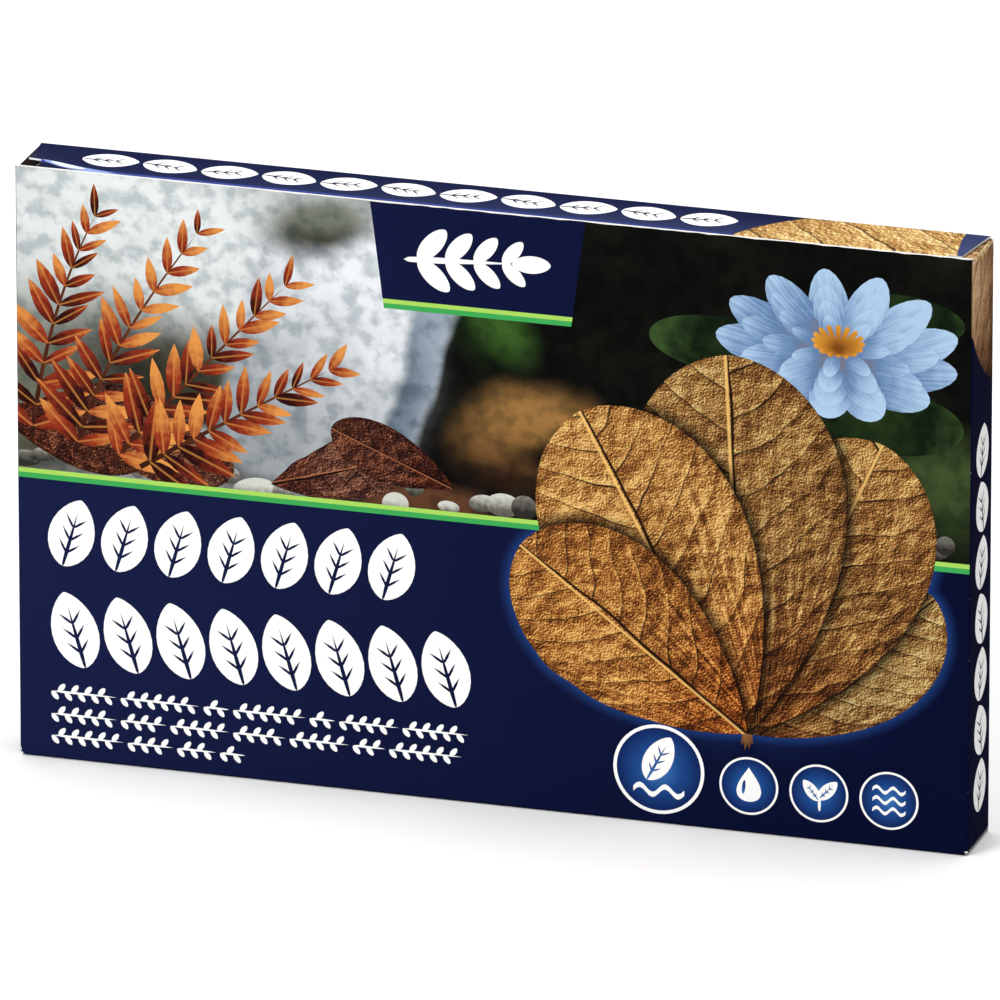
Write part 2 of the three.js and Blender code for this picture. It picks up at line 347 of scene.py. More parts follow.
@dataclass(frozen=True)
class NavyInk(PrintInk):
    """Deep blue that darkens from the left to the right, its paler left partly a painted sheen, with a glow
    round the leaf print.
    """

    left: Colour = ink(19, 26, 66)
    right: Colour = ink(3, 10, 46)
    halo: Colour = ink(26, 60, 124)

    def tone(self, graph: Graph) -> Value:
        """Blue graded along the carton, then the glow."""
        place = graph.attribute("sheet")
        along = graph.total(graph.split(place)[0], graph.sway(place, 40.0, 30.0))
        # Navy print graded from left to right; the paler left is partly painted sheen.
        colour = graph.mix(graph.smooth(along, -150.0, 130.0), self.left, self.right)
        glow = graph.math("POWER", graph.attribute("near", "Fac"), 1.5)
        return graph.mix(graph.times(glow, 0.75), colour, self.halo)


@dataclass(frozen=True)
class LidSheenNavyInk(PrintInk):
    """Deep blue of a closure with painted sheen: paler towards the tuck crease and at the right end."""

    deep: Colour = ink(16, 21, 59)
    pale: Colour = ink(58, 68, 106)
    depth: float = 20.0

    def tone(self, graph: Graph) -> Value:
        """Blue graded across the panel and along it, its paler parts a painted sheen."""
        place = graph.attribute("sheet")
        along, away, _ = graph.split(place)
        # Painted sheen: the blue pales towards the tuck crease and towards the closure's right end.
        across = graph.math("POWER", graph.math("DIVIDE", graph.math("MAXIMUM", away, 0.0), self.depth), 1.4)
        rise = graph.times(across, graph.line(along, 0.003, 0.5))
        end = graph.times(graph.smooth(along, 90.0, 126.0), 0.6)
        return graph.mix(graph.total(0.03, rise, end, graph.sway(place, 30.0, 0.2)), self.deep, self.pale)


@dataclass(frozen=True)
class Blur:
    """One soft patch of an out-of-focus picture, lit from above: round at 2, slab-like above."""

    centre: Point
    radii: Point
    turn: float
    lit: Colour
    dim: Colour
    soft: float = 0.35
    square: float = 2.0


@dataclass(frozen=True)
class Backdrop(PrintInk):
    """Out-of-focus river bed: soft pale stones in dark water."""

    water: Colour = ink(13, 13, 11)
    weed: Colour = ink(26, 29, 18)
    haze: Colour = (0.62, 0.66, 0.68, 1.0)
    patches: tuple[Blur, ...] = ()

    def tone(self, graph: Graph) -> Value:
        """Dark water with each patch laid over the ones before, none with a true curve."""
        place = graph.attribute("sheet")
        cloud = graph.noise(place, 30.0, 3.0)
        colour = graph.mix(graph.smooth(cloud, 0.45, 0.8), self.water, self.weed)
        shift = graph.join(graph.sway(place, 26.0, 9.0), graph.sway(place, 21.0, 7.0))
        bent = graph.add("VectorMath", {0: place, 1: shift}, operation="ADD").outputs[0]
        for patch in self.patches:
            colour = self.lay(graph, bent, patch, colour)
        clouds = graph.smooth(graph.noise(place, 5.0, 4.0), 0.42, 0.66)
        return graph.mix(clouds, colour, self.haze, "MULTIPLY")

    def lay(self, graph: Graph, place: Value, patch: Blur, under: Value) -> Value:
        """Lays one patch over a colour.

        Args:
            graph: Nodes of the material.
            place: Place on the sheet.
            patch: The patch to lay.
            under: The colour so far.

        Returns:
            The new colour.
        """
        inputs = {"Vector": place, "Location": (*patch.centre, 0.0), "Scale": (*patch.radii, 1.0),
                  "Rotation": (0.0, 0.0, radians(patch.turn))}
        x, y, _ = graph.split(graph.add("Mapping", inputs, vector_type="TEXTURE").outputs[0])
        powers = [graph.math("POWER", graph.math("ABSOLUTE", part), patch.square) for part in (x, y)]
        reach = graph.math("POWER", graph.total(*powers), 1 / patch.square)
        lift = graph.total(y, graph.times(x, 0.3), graph.sway(place, 9.0, 0.9, 5.0))
        body = graph.mix(graph.smooth(lift, -0.9, 0.7), patch.dim, patch.lit)
        return graph.mix(graph.smooth(reach, 1 + patch.soft, 1 - patch.soft), under, body)


@dataclass(frozen=True)
class ShapeInk(PrintInk):
    """Printed motif whose colours run along it or round it."""

    low: Colour = WHITE_INK
    middle: Colour = WHITE_INK
    high: Colour = WHITE_INK
    spread: Spread = Spread.ALONG
    run: float = 0.6
    variety: float = 0.5
    mottle: float = 0.4
    grain: float = 5.0
    rib: float = 0.0
    streaks: float = 0.0

    def tone(self, graph: Graph) -> Value:
        """Ramp over the motif, with mottling, streaks and a rib."""
        place = graph.attribute("sheet")
        x, y, seed = graph.split(graph.attribute("art"))
        reach = x
        if self.spread is Spread.ROUND:
            reach = graph.add("VectorMath", {0: graph.join(x, y)}, operation="LENGTH").outputs["Value"]
        along = graph.line(reach, self.run, 0.5 - self.run / 2)
        own = graph.line(seed, self.variety, -self.variety / 2)
        level = graph.total(along, own, graph.sway(place, self.grain, self.mottle, 3.0))
        if self.streaks:
            lines = graph.join(graph.times(x, 1.5), graph.times(y, 60.0), seed)
            level = graph.total(level, graph.sway(lines, 1.0, self.streaks))
        colour = graph.ramp(level, [(0.0, self.low), (0.5, self.middle), (1.0, self.high)])
        if self.rib:
            line = graph.smooth(graph.math("ABSOLUTE", y), 0.028, 0.008)
            colour = graph.mix(graph.times(line, self.rib), colour, self.high)
        return colour


@dataclass(frozen=True)
class VeinPattern:
    """Midrib, side veins and fine net of a broad leaf, in shares of its length."""

    pairs: float = 9.0
    lean: float = 0.5
    curl: float = 1.5
    stagger: float = 0.43

    def draw(self, graph: Graph, x: Value, y: Value, seed: Value) -> tuple[Value, Value, Value, Value]:
        """Draws the veins.

        Args:
            graph: Nodes of the material.
            x: Place along the leaf, from 0 at the stalk to 1 at the tip.
            y: Place across the leaf.
            seed: The leaf's own number.

        Returns:
            The midrib, the side veins and the net, each 1 on the line, and the relief beside the
            side veins, from -1 to 1.
        """
        plane = graph.join(x, y, seed)
        across = graph.total(y, graph.sway(plane, 0.4, 0.05))
        away = graph.math("ABSOLUTE", across)
        curved = graph.times(away, away, self.curl)
        back = graph.line(away, self.lean, curved)
        start = graph.math("SUBTRACT", graph.total(x, graph.sway(plane, 0.2, 0.09)), back)
        upper = graph.times(graph.math("GREATER_THAN", across, 0.0), self.stagger)
        turns = graph.total(graph.line(start, self.pairs, upper), graph.times(seed, 3.7))
        off = graph.math("SUBTRACT", graph.math("FRACT", turns), 0.5)
        gap = graph.math("ABSOLUTE", off)
        width = graph.math("MAXIMUM", graph.line(away, -0.14, 0.05), 0.014)
        veins = graph.smooth(gap, width, graph.times(width, 0.25))
        fade = graph.math("POWER", graph.line(gap, -2.0, 1.0), 2.5)
        relief = graph.times(graph.math("SIGN", off), fade)
        rib_width = graph.line(x, -0.007, 0.011)
        rib = graph.smooth(away, rib_width, graph.times(rib_width, 0.45))
        cells = graph.add("TexVoronoi", {"Vector": plane, "Scale": 70.0}, feature="DISTANCE_TO_EDGE")
        net = graph.smooth(cells.outputs["Distance"], 0.09, 0.02)
        return rib, veins, net, relief


@dataclass(frozen=True)
class LeafInk(PrintInk):
    """Printed picture of a dried, crumpled leaf, lit from the upper left."""

    veins: VeinPattern = VeinPattern()
    shadow: Colour = ink(40, 20, 9)
    brown: Colour = ink(112, 60, 23)
    gold: Colour = ink(180, 113, 46)
    light: Colour = ink(246, 196, 112)
    line: Colour = ink(40, 22, 11)
    dark: Colour = ink(14, 8, 5)
    red: Colour = (1.12, 0.8, 0.62, 1.0)
    olive: Colour = (0.8, 1.1, 1.6, 1.0)
    breadth: float = 0.58
    widest: float = 0.62
    power: float = 0.92
    grain: float = 0.6
    crumple: float = 1.0
    lean: float = 0.0
    drop: float = 0.0
    tip: float = 0.0

    def tone(self, graph: Graph) -> Value:
        """Browns of its own, relief with a lit and a dark side, veins, and the shadow of the leaf above."""
        x, y, seed = graph.split(graph.attribute("art"))
        rib, veins, net, relief = self.veins.draw(graph, x, y, seed)
        rim = self.rim(graph, x, y)
        stops = [(0.0, self.shadow), (0.36, self.brown), (0.64, self.gold), (1.0, self.light)]
        colour = graph.ramp(self.level(graph, x, y, seed, relief, rim), stops)
        colour = graph.mix(seed, colour, self.olive, "MULTIPLY")
        colour = graph.mix(graph.smooth(x, 0.5, 0.0), colour, self.red, "MULTIPLY")
        colour = graph.mix(graph.times(net, 0.22), colour, self.line)
        faint = graph.line(graph.noise(graph.join(x, y, seed), 0.12), 1.5, 0.1)
        colour = graph.mix(graph.times(veins, faint), colour, self.line)
        colour = graph.mix(rib, colour, self.line)
        crest = graph.smooth(graph.math("ABSOLUTE", graph.math("SUBTRACT", y, 0.009)), 0.006, 0.002)
        colour = graph.mix(graph.times(crest, 0.7), colour, self.light)
        colour = graph.mix(graph.times(graph.smooth(rim, 0.965, 1.0), 0.5), colour, self.line)
        shade = graph.times(graph.math("POWER", graph.attribute("near", "Fac"), 0.7), 0.96)
        return graph.mix(shade, colour, self.dark)

    def level(self, graph: Graph, x: Value, y: Value, seed: Value, relief: Value, rim: Value) -> Value:
        """Place on the ramp of browns: the leaf's own, with crumples, wrinkles, speckles and blotches.

        Args:
            graph: Nodes of the material.
            x: Place along the leaf.
            y: Place across it.
            seed: The leaf's own number.
            relief: Relief beside the side veins.
            rim: How far out a place lies.

        Returns:
            The place, 0 to 1.
        """
        place = graph.attribute("sheet")
        own = graph.line(graph.math("FRACT", graph.times(seed, 5.3)), 0.2, 0.43)
        halves = graph.times(graph.smooth(y, -0.02, 0.02), 0.08)
        ray = graph.math("DIVIDE", y, graph.math("ADD", x, 0.18))
        rays = graph.join(graph.times(x, 5.0), graph.times(ray, 30.0), seed)
        wrinkle = graph.times(graph.emboss(rays, 1.0, 1.5, 3.0), graph.smooth(x, 1.1, 0.1))
        coarse = graph.emboss(place, 4.5, 1.15 * self.crumple)
        fine = graph.emboss(place, self.grain, 2.6 * self.crumple, 3.0)
        blotch = graph.total(graph.sway(place, 20.0, 0.46), graph.sway(place, 1.0, 0.45, 5.0))
        low = graph.times(graph.smooth(x, 0.5, 0.0), -0.16)
        outer = graph.times(graph.smooth(rim, 0.7, 1.0), -0.12)
        turned = graph.line(y, self.lean, self.drop)
        tip = graph.times(graph.smooth(x, 0.7, 1.0), self.tip)
        raised = graph.times(relief, 0.16)
        return graph.total(own, halves, coarse, fine, wrinkle, blotch, raised, low, outer, turned, tip)

    def rim(self, graph: Graph, x: Value, y: Value) -> Value:
        """How far out a place lies.

        Args:
            graph: Nodes of the material.
            x: Place along the leaf.
            y: Place across it.

        Returns:
            0 at the midrib to 1 at the leaf's edge.
        """
        rise = graph.math("POWER", graph.math("DIVIDE", x, self.widest), self.power)
        left = graph.line(x, -1 / (1 - self.widest), 1 / (1 - self.widest))
        fall = graph.math("POWER", left, self.power * (1 / self.widest - 1))
        half = graph.times(rise, fall, self.breadth / 2)
        return graph.math("DIVIDE", graph.math("ABSOLUTE", y), half)


@dataclass(frozen=True)
class DriedSkin(Finish):
    """Real dried leaf: dull, mottled and finely wrinkled."""

    veins: VeinPattern = VeinPattern()
    specular: float = 0.35
    spots: Colour = ink(42, 24, 16)
    net_line: Colour = ink(60, 34, 20)
    rib_line: Colour = ink(176, 128, 76)

    def dress(self, graph: Graph) -> None:
        """Browns, veins that stand up, wrinkles and spots."""
        place = graph.attribute("sheet")
        x, y, seed = graph.split(graph.attribute("art"))
        rib, veins, net, relief = self.veins.draw(graph, x, y, seed)
        level = graph.total(0.45, graph.sway(place, 24.0, 1.0, 4.0), graph.sway(place, 1.6, 0.4, 4.0),
                            graph.line(seed, 0.4, -0.2), graph.times(relief, 0.08))
        stops = [(0.0, ink(62, 34, 20)), (0.4, ink(112, 66, 36)), (0.75, ink(150, 98, 54)),
                 (1.0, ink(182, 134, 82))]
        colour = graph.ramp(level, stops)
        colour = graph.mix(graph.times(net, 0.25), colour, self.net_line)
        raised = graph.math("MAXIMUM", rib, veins)
        colour = graph.mix(graph.times(raised, 0.6), colour, self.rib_line)
        spot = graph.smooth(graph.noise(place, 3.2, 2.0), 0.7, 0.76)
        colour = graph.mix(graph.times(spot, 0.7), colour, self.spots)
        wrinkle = graph.times(graph.noise(place, 1.1, 4.0, 0.8), 1.4)
        height = graph.total(graph.times(raised, 1.5), graph.times(net, -0.4), wrinkle)
        graph.shade({"Base Color": colour, "Roughness": graph.line(graph.noise(place, 5.0), 0.2, 0.62),
                     "Normal": graph.bump(height, 0.12), "Specular IOR Level": self.specular})


@dataclass(frozen=True)
class PalePaint(Finish):
    """Plain dull paint of the studio's floor."""

    tone: Colour = (0.93, 0.93, 0.93, 1.0)

    def dress(self, graph: Graph) -> None:
        """One tone with hardly any gloss."""
        graph.shade({"Base Color": self.tone, "Roughness": 0.9, "Specular IOR Level": 0.1})


@dataclass(frozen=True)
class ArtFrame:
    """A motif's own coordinates on the sheet: origin, direction, and length of one unit."""

    origin: Point
    angle: float
    scale: float
    seed: float = 0.0

    def local(self, points: Array) -> Array:
        """Places on the sheet as places on the motif.

        Args:
            points: Sheet points, n by 2.

        Returns:
            Along, across and the seed, n by 3.
        """
        turn = radians(self.angle)
        moved = (points - np.array(self.origin)) / self.scale
        along = moved[:, 0] * cos(turn) + moved[:, 1] * sin(turn)
        across = moved[:, 1] * cos(turn) - moved[:, 0] * sin(turn)
        return np.column_stack([along, across, np.full(len(points), self.seed)])


@dataclass(frozen=True)
class Blade:
    """Leaf-shaped outline that is broadest at a share of its length."""

    base: Point
    angle: float
    length: float
    breadth: float
    widest: float = 0.5
    power: float = 0.8
    steps: int = 14
    ragged: float = 0.0

    def half(self, share: float | Array) -> float | Array:
        """Half the breadth at a share of the length, or at an array of shares.

        Args:
            share: 0 at the base to 1 at the tip.

        Returns:
            Half the breadth there.
        """
        tip_power = self.power * (1 / self.widest - 1)
        rise = (share / self.widest) ** self.power
        fall = ((1 - share) / (1 - self.widest)) ** tip_power
        return self.breadth / 2 * rise * fall

    def outline(self) -> Outline:
        """Walks round the blade.

        Returns:
            Points from its base up one edge and down the other.
        """
        shares = [(1 - cos(pi * i / self.steps)) / 2 for i in range(self.steps + 1)]
        wavy = [1 + self.ragged * (sin(23 * s + self.angle) + 0.7 * sin(41 * s)) for s in shares]
        upper = [(s * self.length, self.half(s) * w) for s, w in zip(shares, wavy)]
        lower = [(along, -out * (2 - w)) for (along, out), w in zip(upper[-2:0:-1], wavy[-2:0:-1])]
        return [point_at(self.base, self.angle, p, q) for p, q in upper + lower]

    def at(self, share: float) -> Point:
        """Sheet point at a share of the length."""
        return point_at(self.base, self.angle, share * self.length)

    def grown(self, by: float) -> "Blade":
        """The blade with a rim added all round."""
        return replace(self, base=self.at(-by / self.length), length=self.length + 2 * by,
                       breadth=self.breadth + 2 * by, ragged=0.0)


def point_at(origin: Point, angle: float, along: float, across: float = 0.0) -> Point:
    """Sheet point so far from an origin along a direction, and to the left of it."""
    x, y = cos(radians(angle)), sin(radians(angle))
    return (origin[0] + along * x - across * y, origin[1] + along * y + across * x)


def ellipse(centre: Point, radii: Point, turn: float = 0.0, steps: int = 28) -> Outline:
    """Points round an ellipse.

    Args:
        centre: Its middle.
        radii: Its two radii.
        turn: Degrees that it is turned by.
        steps: Number of points.

    Returns:
        The outline.
    """
    rays = [2 * pi * i / steps for i in range(steps)]
    return [point_at(centre, turn, radii[0] * cos(ray), radii[1] * sin(ray)) for ray in rays]


def box_outline(low: Point, high: Point) -> Outline:
    """The four corners of an upright rectangle."""
    return [low, (high[0], low[1]), high, (low[0], high[1])]


def counter_clockwise(outline: Outline) -> Outline:
    """The outline in counter-clockwise order."""
    doubled = sum(p[0] * q[1] - q[0] * p[1] for p, q in zip(outline, outline[1:] + outline[:1]))
    return outline if doubled > 0 else outline[::-1]


def distances(points: Array, outline: Outline) -> Array:
    """Distance of each point from the nearest part of an outline.

    Args:
        points: The points, n by 2.
        outline: The outline.

    Returns:
        The distances.
    """
    start = np.array(outline)
    step = np.roll(start, -1, axis=0) - start
    offset = points[:, None, :] - start[None, :, :]
    share = np.clip((offset * step).sum(2) / np.maximum((step * step).sum(1), MERGE), 0, 1)
    return np.linalg.norm(offset - share[:, :, None] * step, axis=2).min(1)


def store(mesh: Mesh, name: str, values: Array, domain: str = "POINT") -> None:
    """Stores numbers or vectors on a mesh, for its finishes to read.

    Args:
        mesh: The mesh.
        name: Name of the attribute.
        values: A number or a row of three for each element.
        domain: Kind of element.
    """
    kind, key = ("FLOAT_VECTOR", "vector") if values.ndim == 2 else ("FLOAT", "value")
    mesh.attributes.new(name, kind, domain).data.foreach_set(key, values.astype(np.float32).ravel())


def add_object(name: str, data: ID) -> Object:
    """Adds an object to the scene.

    Args:
        name: Its name.
        data: Its mesh, lamp or camera.

    Returns:
        The object.
    """
    made = bpy.data.objects.new(name, data)
    bpy.context.scene.collection.objects.link(made)
    return made


@dataclass(frozen=True)
class PrintShape:
    """One shape of the print."""

    outline: Outline
    finish: Finish
    art: ArtFrame | None
    reach: float


@dataclass
class Artwork:
    """Print of one sheet: its ground, its shapes in the order they are painted, and extra cuts."""

    ground: Finish
    shapes: list[PrintShape] = field(default_factory=list)
    cuts: list[Outline] = field(default_factory=list)

    def paint(self, outline: Outline, finish: Finish, art: ArtFrame | None = None) -> None:
        """Paints a shape over what is there."""
        self.shapes.append(PrintShape(counter_clockwise(outline), finish, art, 0.0))

    def blade(self, blade: Blade, finish: Finish, seed: float = 0.0, reach: float = 0.0) -> None:
        """Paints a blade.

        Args:
            blade: Its outline and place.
            finish: Its finish.
            seed: Number that sets its own tint.
            reach: How far its glow or shadow falls on what lies under it.
        """
        own = ArtFrame(blade.base, blade.angle, blade.length, seed)
        self.shapes.append(PrintShape(counter_clockwise(blade.outline()), finish, own, reach))
        if reach:
            self.cuts.extend(blade.grown(reach * share).outline() for share in (0.4, 1.0))

    def nearness(self, points: Array, ranks: Array) -> Array:
        """How close points lie to the shapes that cast a glow or shadow on them.

        Args:
            points: Sheet points, n by 2.
            ranks: For each point, the place of its own shape in the painting order, from 1.

        Returns:
            1 at the edge of such a shape, falling to 0 at its reach.
        """
        near = np.zeros(len(points))
        for rank, shape in enumerate(self.shapes, start=1):
            if not shape.reach:
                continue
            low = np.min(shape.outline, axis=0) - shape.reach
            high = np.max(shape.outline, axis=0) + shape.reach
            under = (ranks < rank) & (points >= low).all(1) & (points <= high).all(1)
            if under.any():
                share = 1 - distances(points[under], shape.outline) / shape.reach
                near[under] = np.maximum(near[under], share)
        return near


@dataclass(frozen=True)
class CartonSizes:
    """Sizes of the carton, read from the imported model."""

    width: float
    depth: float
    height: float
    board: float
    clearance: float = 0.3
    crease_gap: float = 0.5
    fold_radius: float = 0.8

    @classmethod
    def from_frame(cls) -> "CartonSizes":
        """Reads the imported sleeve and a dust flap.

        Returns:
            The sizes.
        """
        low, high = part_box("sleeve")
        flap_low, flap_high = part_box("top_left_dust_flap")
        size = (high - low) / MM
        return cls(size.x, size.y, size.z, (flap_high.z - flap_low.z) / MM)

    @property
    def hinge_y(self) -> float:
        """Distance of the top closure's hinge behind the middle."""
        return self.depth / 2 - self.board / 2

    @property
    def hinge_z(self) -> float:
        """Height of the top closure's hinge."""
        return self.height - self.board / 2

    @property
    def tuck_middle(self) -> float:
        """Distance of the tuck flap's middle from the closure's hinge."""
        return self.depth - 2 * self.board - self.clearance

    @property
    def dust_top(self) -> float:
        """How far the dust flaps' upper face lies below the top."""
        return self.board + self.clearance

    @property
    def side_end(self) -> float:
        """How far the side walls end below the top."""
        return self.dust_top + self.board / 2 + self.crease_gap

    @property
    def back_end(self) -> float:
        """How far the hinge wall ends below the top."""
        return self.board / 2 + self.crease_gap


class Fold:
    """Way from a flat sheet to its folded place."""

    def place(self, flat: Array, depth: float) -> Array:
        """Folded places of flat points.

        Args:
            flat: Sheet points, n by 2.
            depth: How far below the printed face they lie.

        Returns:
            Places in the carton's frame, n by 3.
        """
        raise NotImplementedError


@dataclass(frozen=True)
class TurnedFold(Fold):
    """A fold of the carton's top, turned half round about X to serve the bottom."""

    fold: Fold
    height: float

    def place(self, flat: Array, depth: float) -> Array:
        """Places of the inner fold, turned."""
        places = self.fold.place(flat, depth) * np.array([1.0, -1.0, -1.0])
        return places + np.array([0.0, 0.0, self.height])


@dataclass(frozen=True)
class WallRun:
    """A straight or round stretch of the sleeve seen from above."""

    start: float
    length: float
    origin: Point
    heading: float
    radius: float = 0.0
    bow: float = 0.0

    @property
    def end(self) -> float:
        """Sheet place where the stretch ends."""
        return self.start + self.length

    def place(self, along: Array, up: Array, depth: float, height: float) -> Array:
        """Places on this stretch.

        Args:
            along: Places along the sheet.
            up: Heights.
            depth: How far below the printed face they lie.
            height: Height of the wall.

        Returns:
            Places in the carton's frame, n by 3.
        """
        gone = along - self.start
        turned = self.heading + (gone / self.radius if self.radius else gone * 0)
        normal = np.column_stack([np.sin(turned), -np.cos(turned)])
        ahead = np.array([cos(self.heading), sin(self.heading)])
        if self.radius:
            middle = np.array(self.origin) + self.radius * np.array([-ahead[1], ahead[0]])
            points = middle + normal * (self.radius - depth)
        else:
            swell = (1 - (2 * gone / self.length - 1) ** 2) * (1 - 0.6 * (2 * up / height - 1) ** 2)
            points = np.array(self.origin) + gone[:, None] * ahead
            points = points + normal * (self.bow * swell - depth)[:, None]
        return np.column_stack([points, up])


@dataclass
class SleeveFold(Fold):
    """The sleeve's walk: left wall, front, right wall, back and glue flap, in that order."""

    sizes: CartonSizes
    glue_flap: float = 13.0
    glue: float = 0.03
    seam_sweep: float = 65.0
    bow: float = 0.28
    runs: list[WallRun] = field(default_factory=list)

    def __post_init__(self) -> None:
        """Lays out the stretches. The sheet's zero is the middle of the front."""
        sizes, bow = self.sizes, self.bow
        radius = sizes.fold_radius
        x = sizes.width / 2
        y = sizes.depth / 2
        inner_x = x - sizes.board - self.glue
        raw = y - radius * (1 - cos(radians(self.seam_sweep)))
        low_flap = y - self.glue_flap
        quarter = pi / 2
        steps = [
            (raw + y - radius, (-x, raw), -quarter, 0.0, 0.0),
            (quarter * radius, (-x, -y + radius), -quarter, radius, 0.0),
            (2 * (x - radius), (-x + radius, -y), 0.0, 0.0, bow),
            (quarter * radius, (x - radius, -y), 0.0, radius, 0.0),
            (2 * (y - radius), (x, -y + radius), quarter, 0.0, 0.0),
            (quarter * radius, (x, y - radius), quarter, radius, 0.0),
            (x - radius + inner_x - radius, (x - radius, y), pi, 0.0, bow),
            (quarter * radius, (-inner_x + radius, y), pi, radius, 0.0),
            (y - radius - low_flap, (-inner_x, y - radius), 3 * quarter, 0.0, 0.0),
        ]
        start = -steps[2][0] / 2 - steps[1][0] - steps[0][0]
        for length, origin, heading, round_radius, swell in steps:
            self.runs.append(WallRun(start, length, origin, heading, round_radius, swell))
            start += length

    def place(self, flat: Array, depth: float) -> Array:
        """Places on the walls."""
        ends = np.array([run.end for run in self.runs[:-1]])
        which = np.searchsorted(ends, flat[:, 0] - MERGE)
        places = np.zeros((len(flat), 3))
        for number, run in enumerate(self.runs):
            here = which == number
            if here.any():
                places[here] = run.place(flat[here, 0], flat[here, 1], depth, self.sizes.height)
        return places


@dataclass(frozen=True)
class ClosureFold(Fold):
    """Top closure: a flat panel, the rounded tuck crease, and the tuck flap curved round the hinge."""

    sizes: CartonSizes
    corner_lift: float = 0.0
    corner_reach: float = 12.5
    corner_x: float = -126.6
    crease_radius: float = 0.55

    @property
    def panel(self) -> float:
        """Length of the flat panel along the sheet."""
        return self.sizes.tuck_middle - self.crease_radius - self.sizes.crease_gap

    @property
    def crease(self) -> float:
        """Length of the tuck crease along the sheet."""
        return self.crease_radius * pi / 2

    def place(self, flat: Array, depth: float) -> Array:
        """Places on the closure, with its left front corner standing up."""
        sizes = self.sizes
        along, away = flat.T
        out = sizes.board / 2 - depth
        radius = self.crease_radius
        bend_y = sizes.hinge_y - sizes.tuck_middle + radius
        bend_z = sizes.hinge_z - radius
        turn = np.clip((away - self.panel) / radius, 0, pi / 2)
        sweep = (radius + np.maximum(away - self.panel - self.crease, 0)) / sizes.tuck_middle
        on_panel = away <= self.panel
        on_crease = away <= self.panel + self.crease
        crease_y = bend_y - (radius + out) * np.sin(turn)
        crease_z = bend_z + (radius + out) * np.cos(turn)
        tuck_y = sizes.hinge_y - (sizes.tuck_middle + out) * np.cos(sweep)
        tuck_z = sizes.hinge_z - (sizes.tuck_middle + out) * np.sin(sweep)
        panel_y = sizes.hinge_y - sizes.crease_gap - away
        y = np.where(on_panel, panel_y, np.where(on_crease, crease_y, tuck_y))
        z = np.where(on_panel, sizes.hinge_z + out, np.where(on_crease, crease_z, tuck_z))
        past = np.maximum(along - self.corner_x, 0) / self.corner_reach
        share = np.clip(away / self.panel, 0, 1) ** 1.5
        return np.column_stack([along, y, z + self.corner_lift * np.exp(-past**2) * share])


@dataclass(frozen=True)
class FlatFold(Fold):
    """Level sheet whose coordinates are the carton's own X and Y."""

    level: float

    def place(self, flat: Array, depth: float) -> Array:
        """Places at the sheet's level."""
        return np.column_stack([flat, np.full(len(flat), self.level - depth)])


@dataclass(frozen=True)
class CreaseFold(Fold):
    """Quarter-round crease between the end of a wall and the root of its flap."""

    centre: Place
    along: Place
    outward: Place
    radius: float
    board: float

    def place(self, flat: Array, depth: float) -> Array:
        """Places round the crease."""
        turn = flat[:, 1] / self.radius
        reach = self.radius + self.board / 2 - depth
        out = np.cos(turn)[:, None] * np.array(self.outward) + np.sin(turn)[:, None] * np.array([0, 0, 1.0])
        return np.array(self.centre) + flat[:, :1] * np.array(self.along) + reach * out


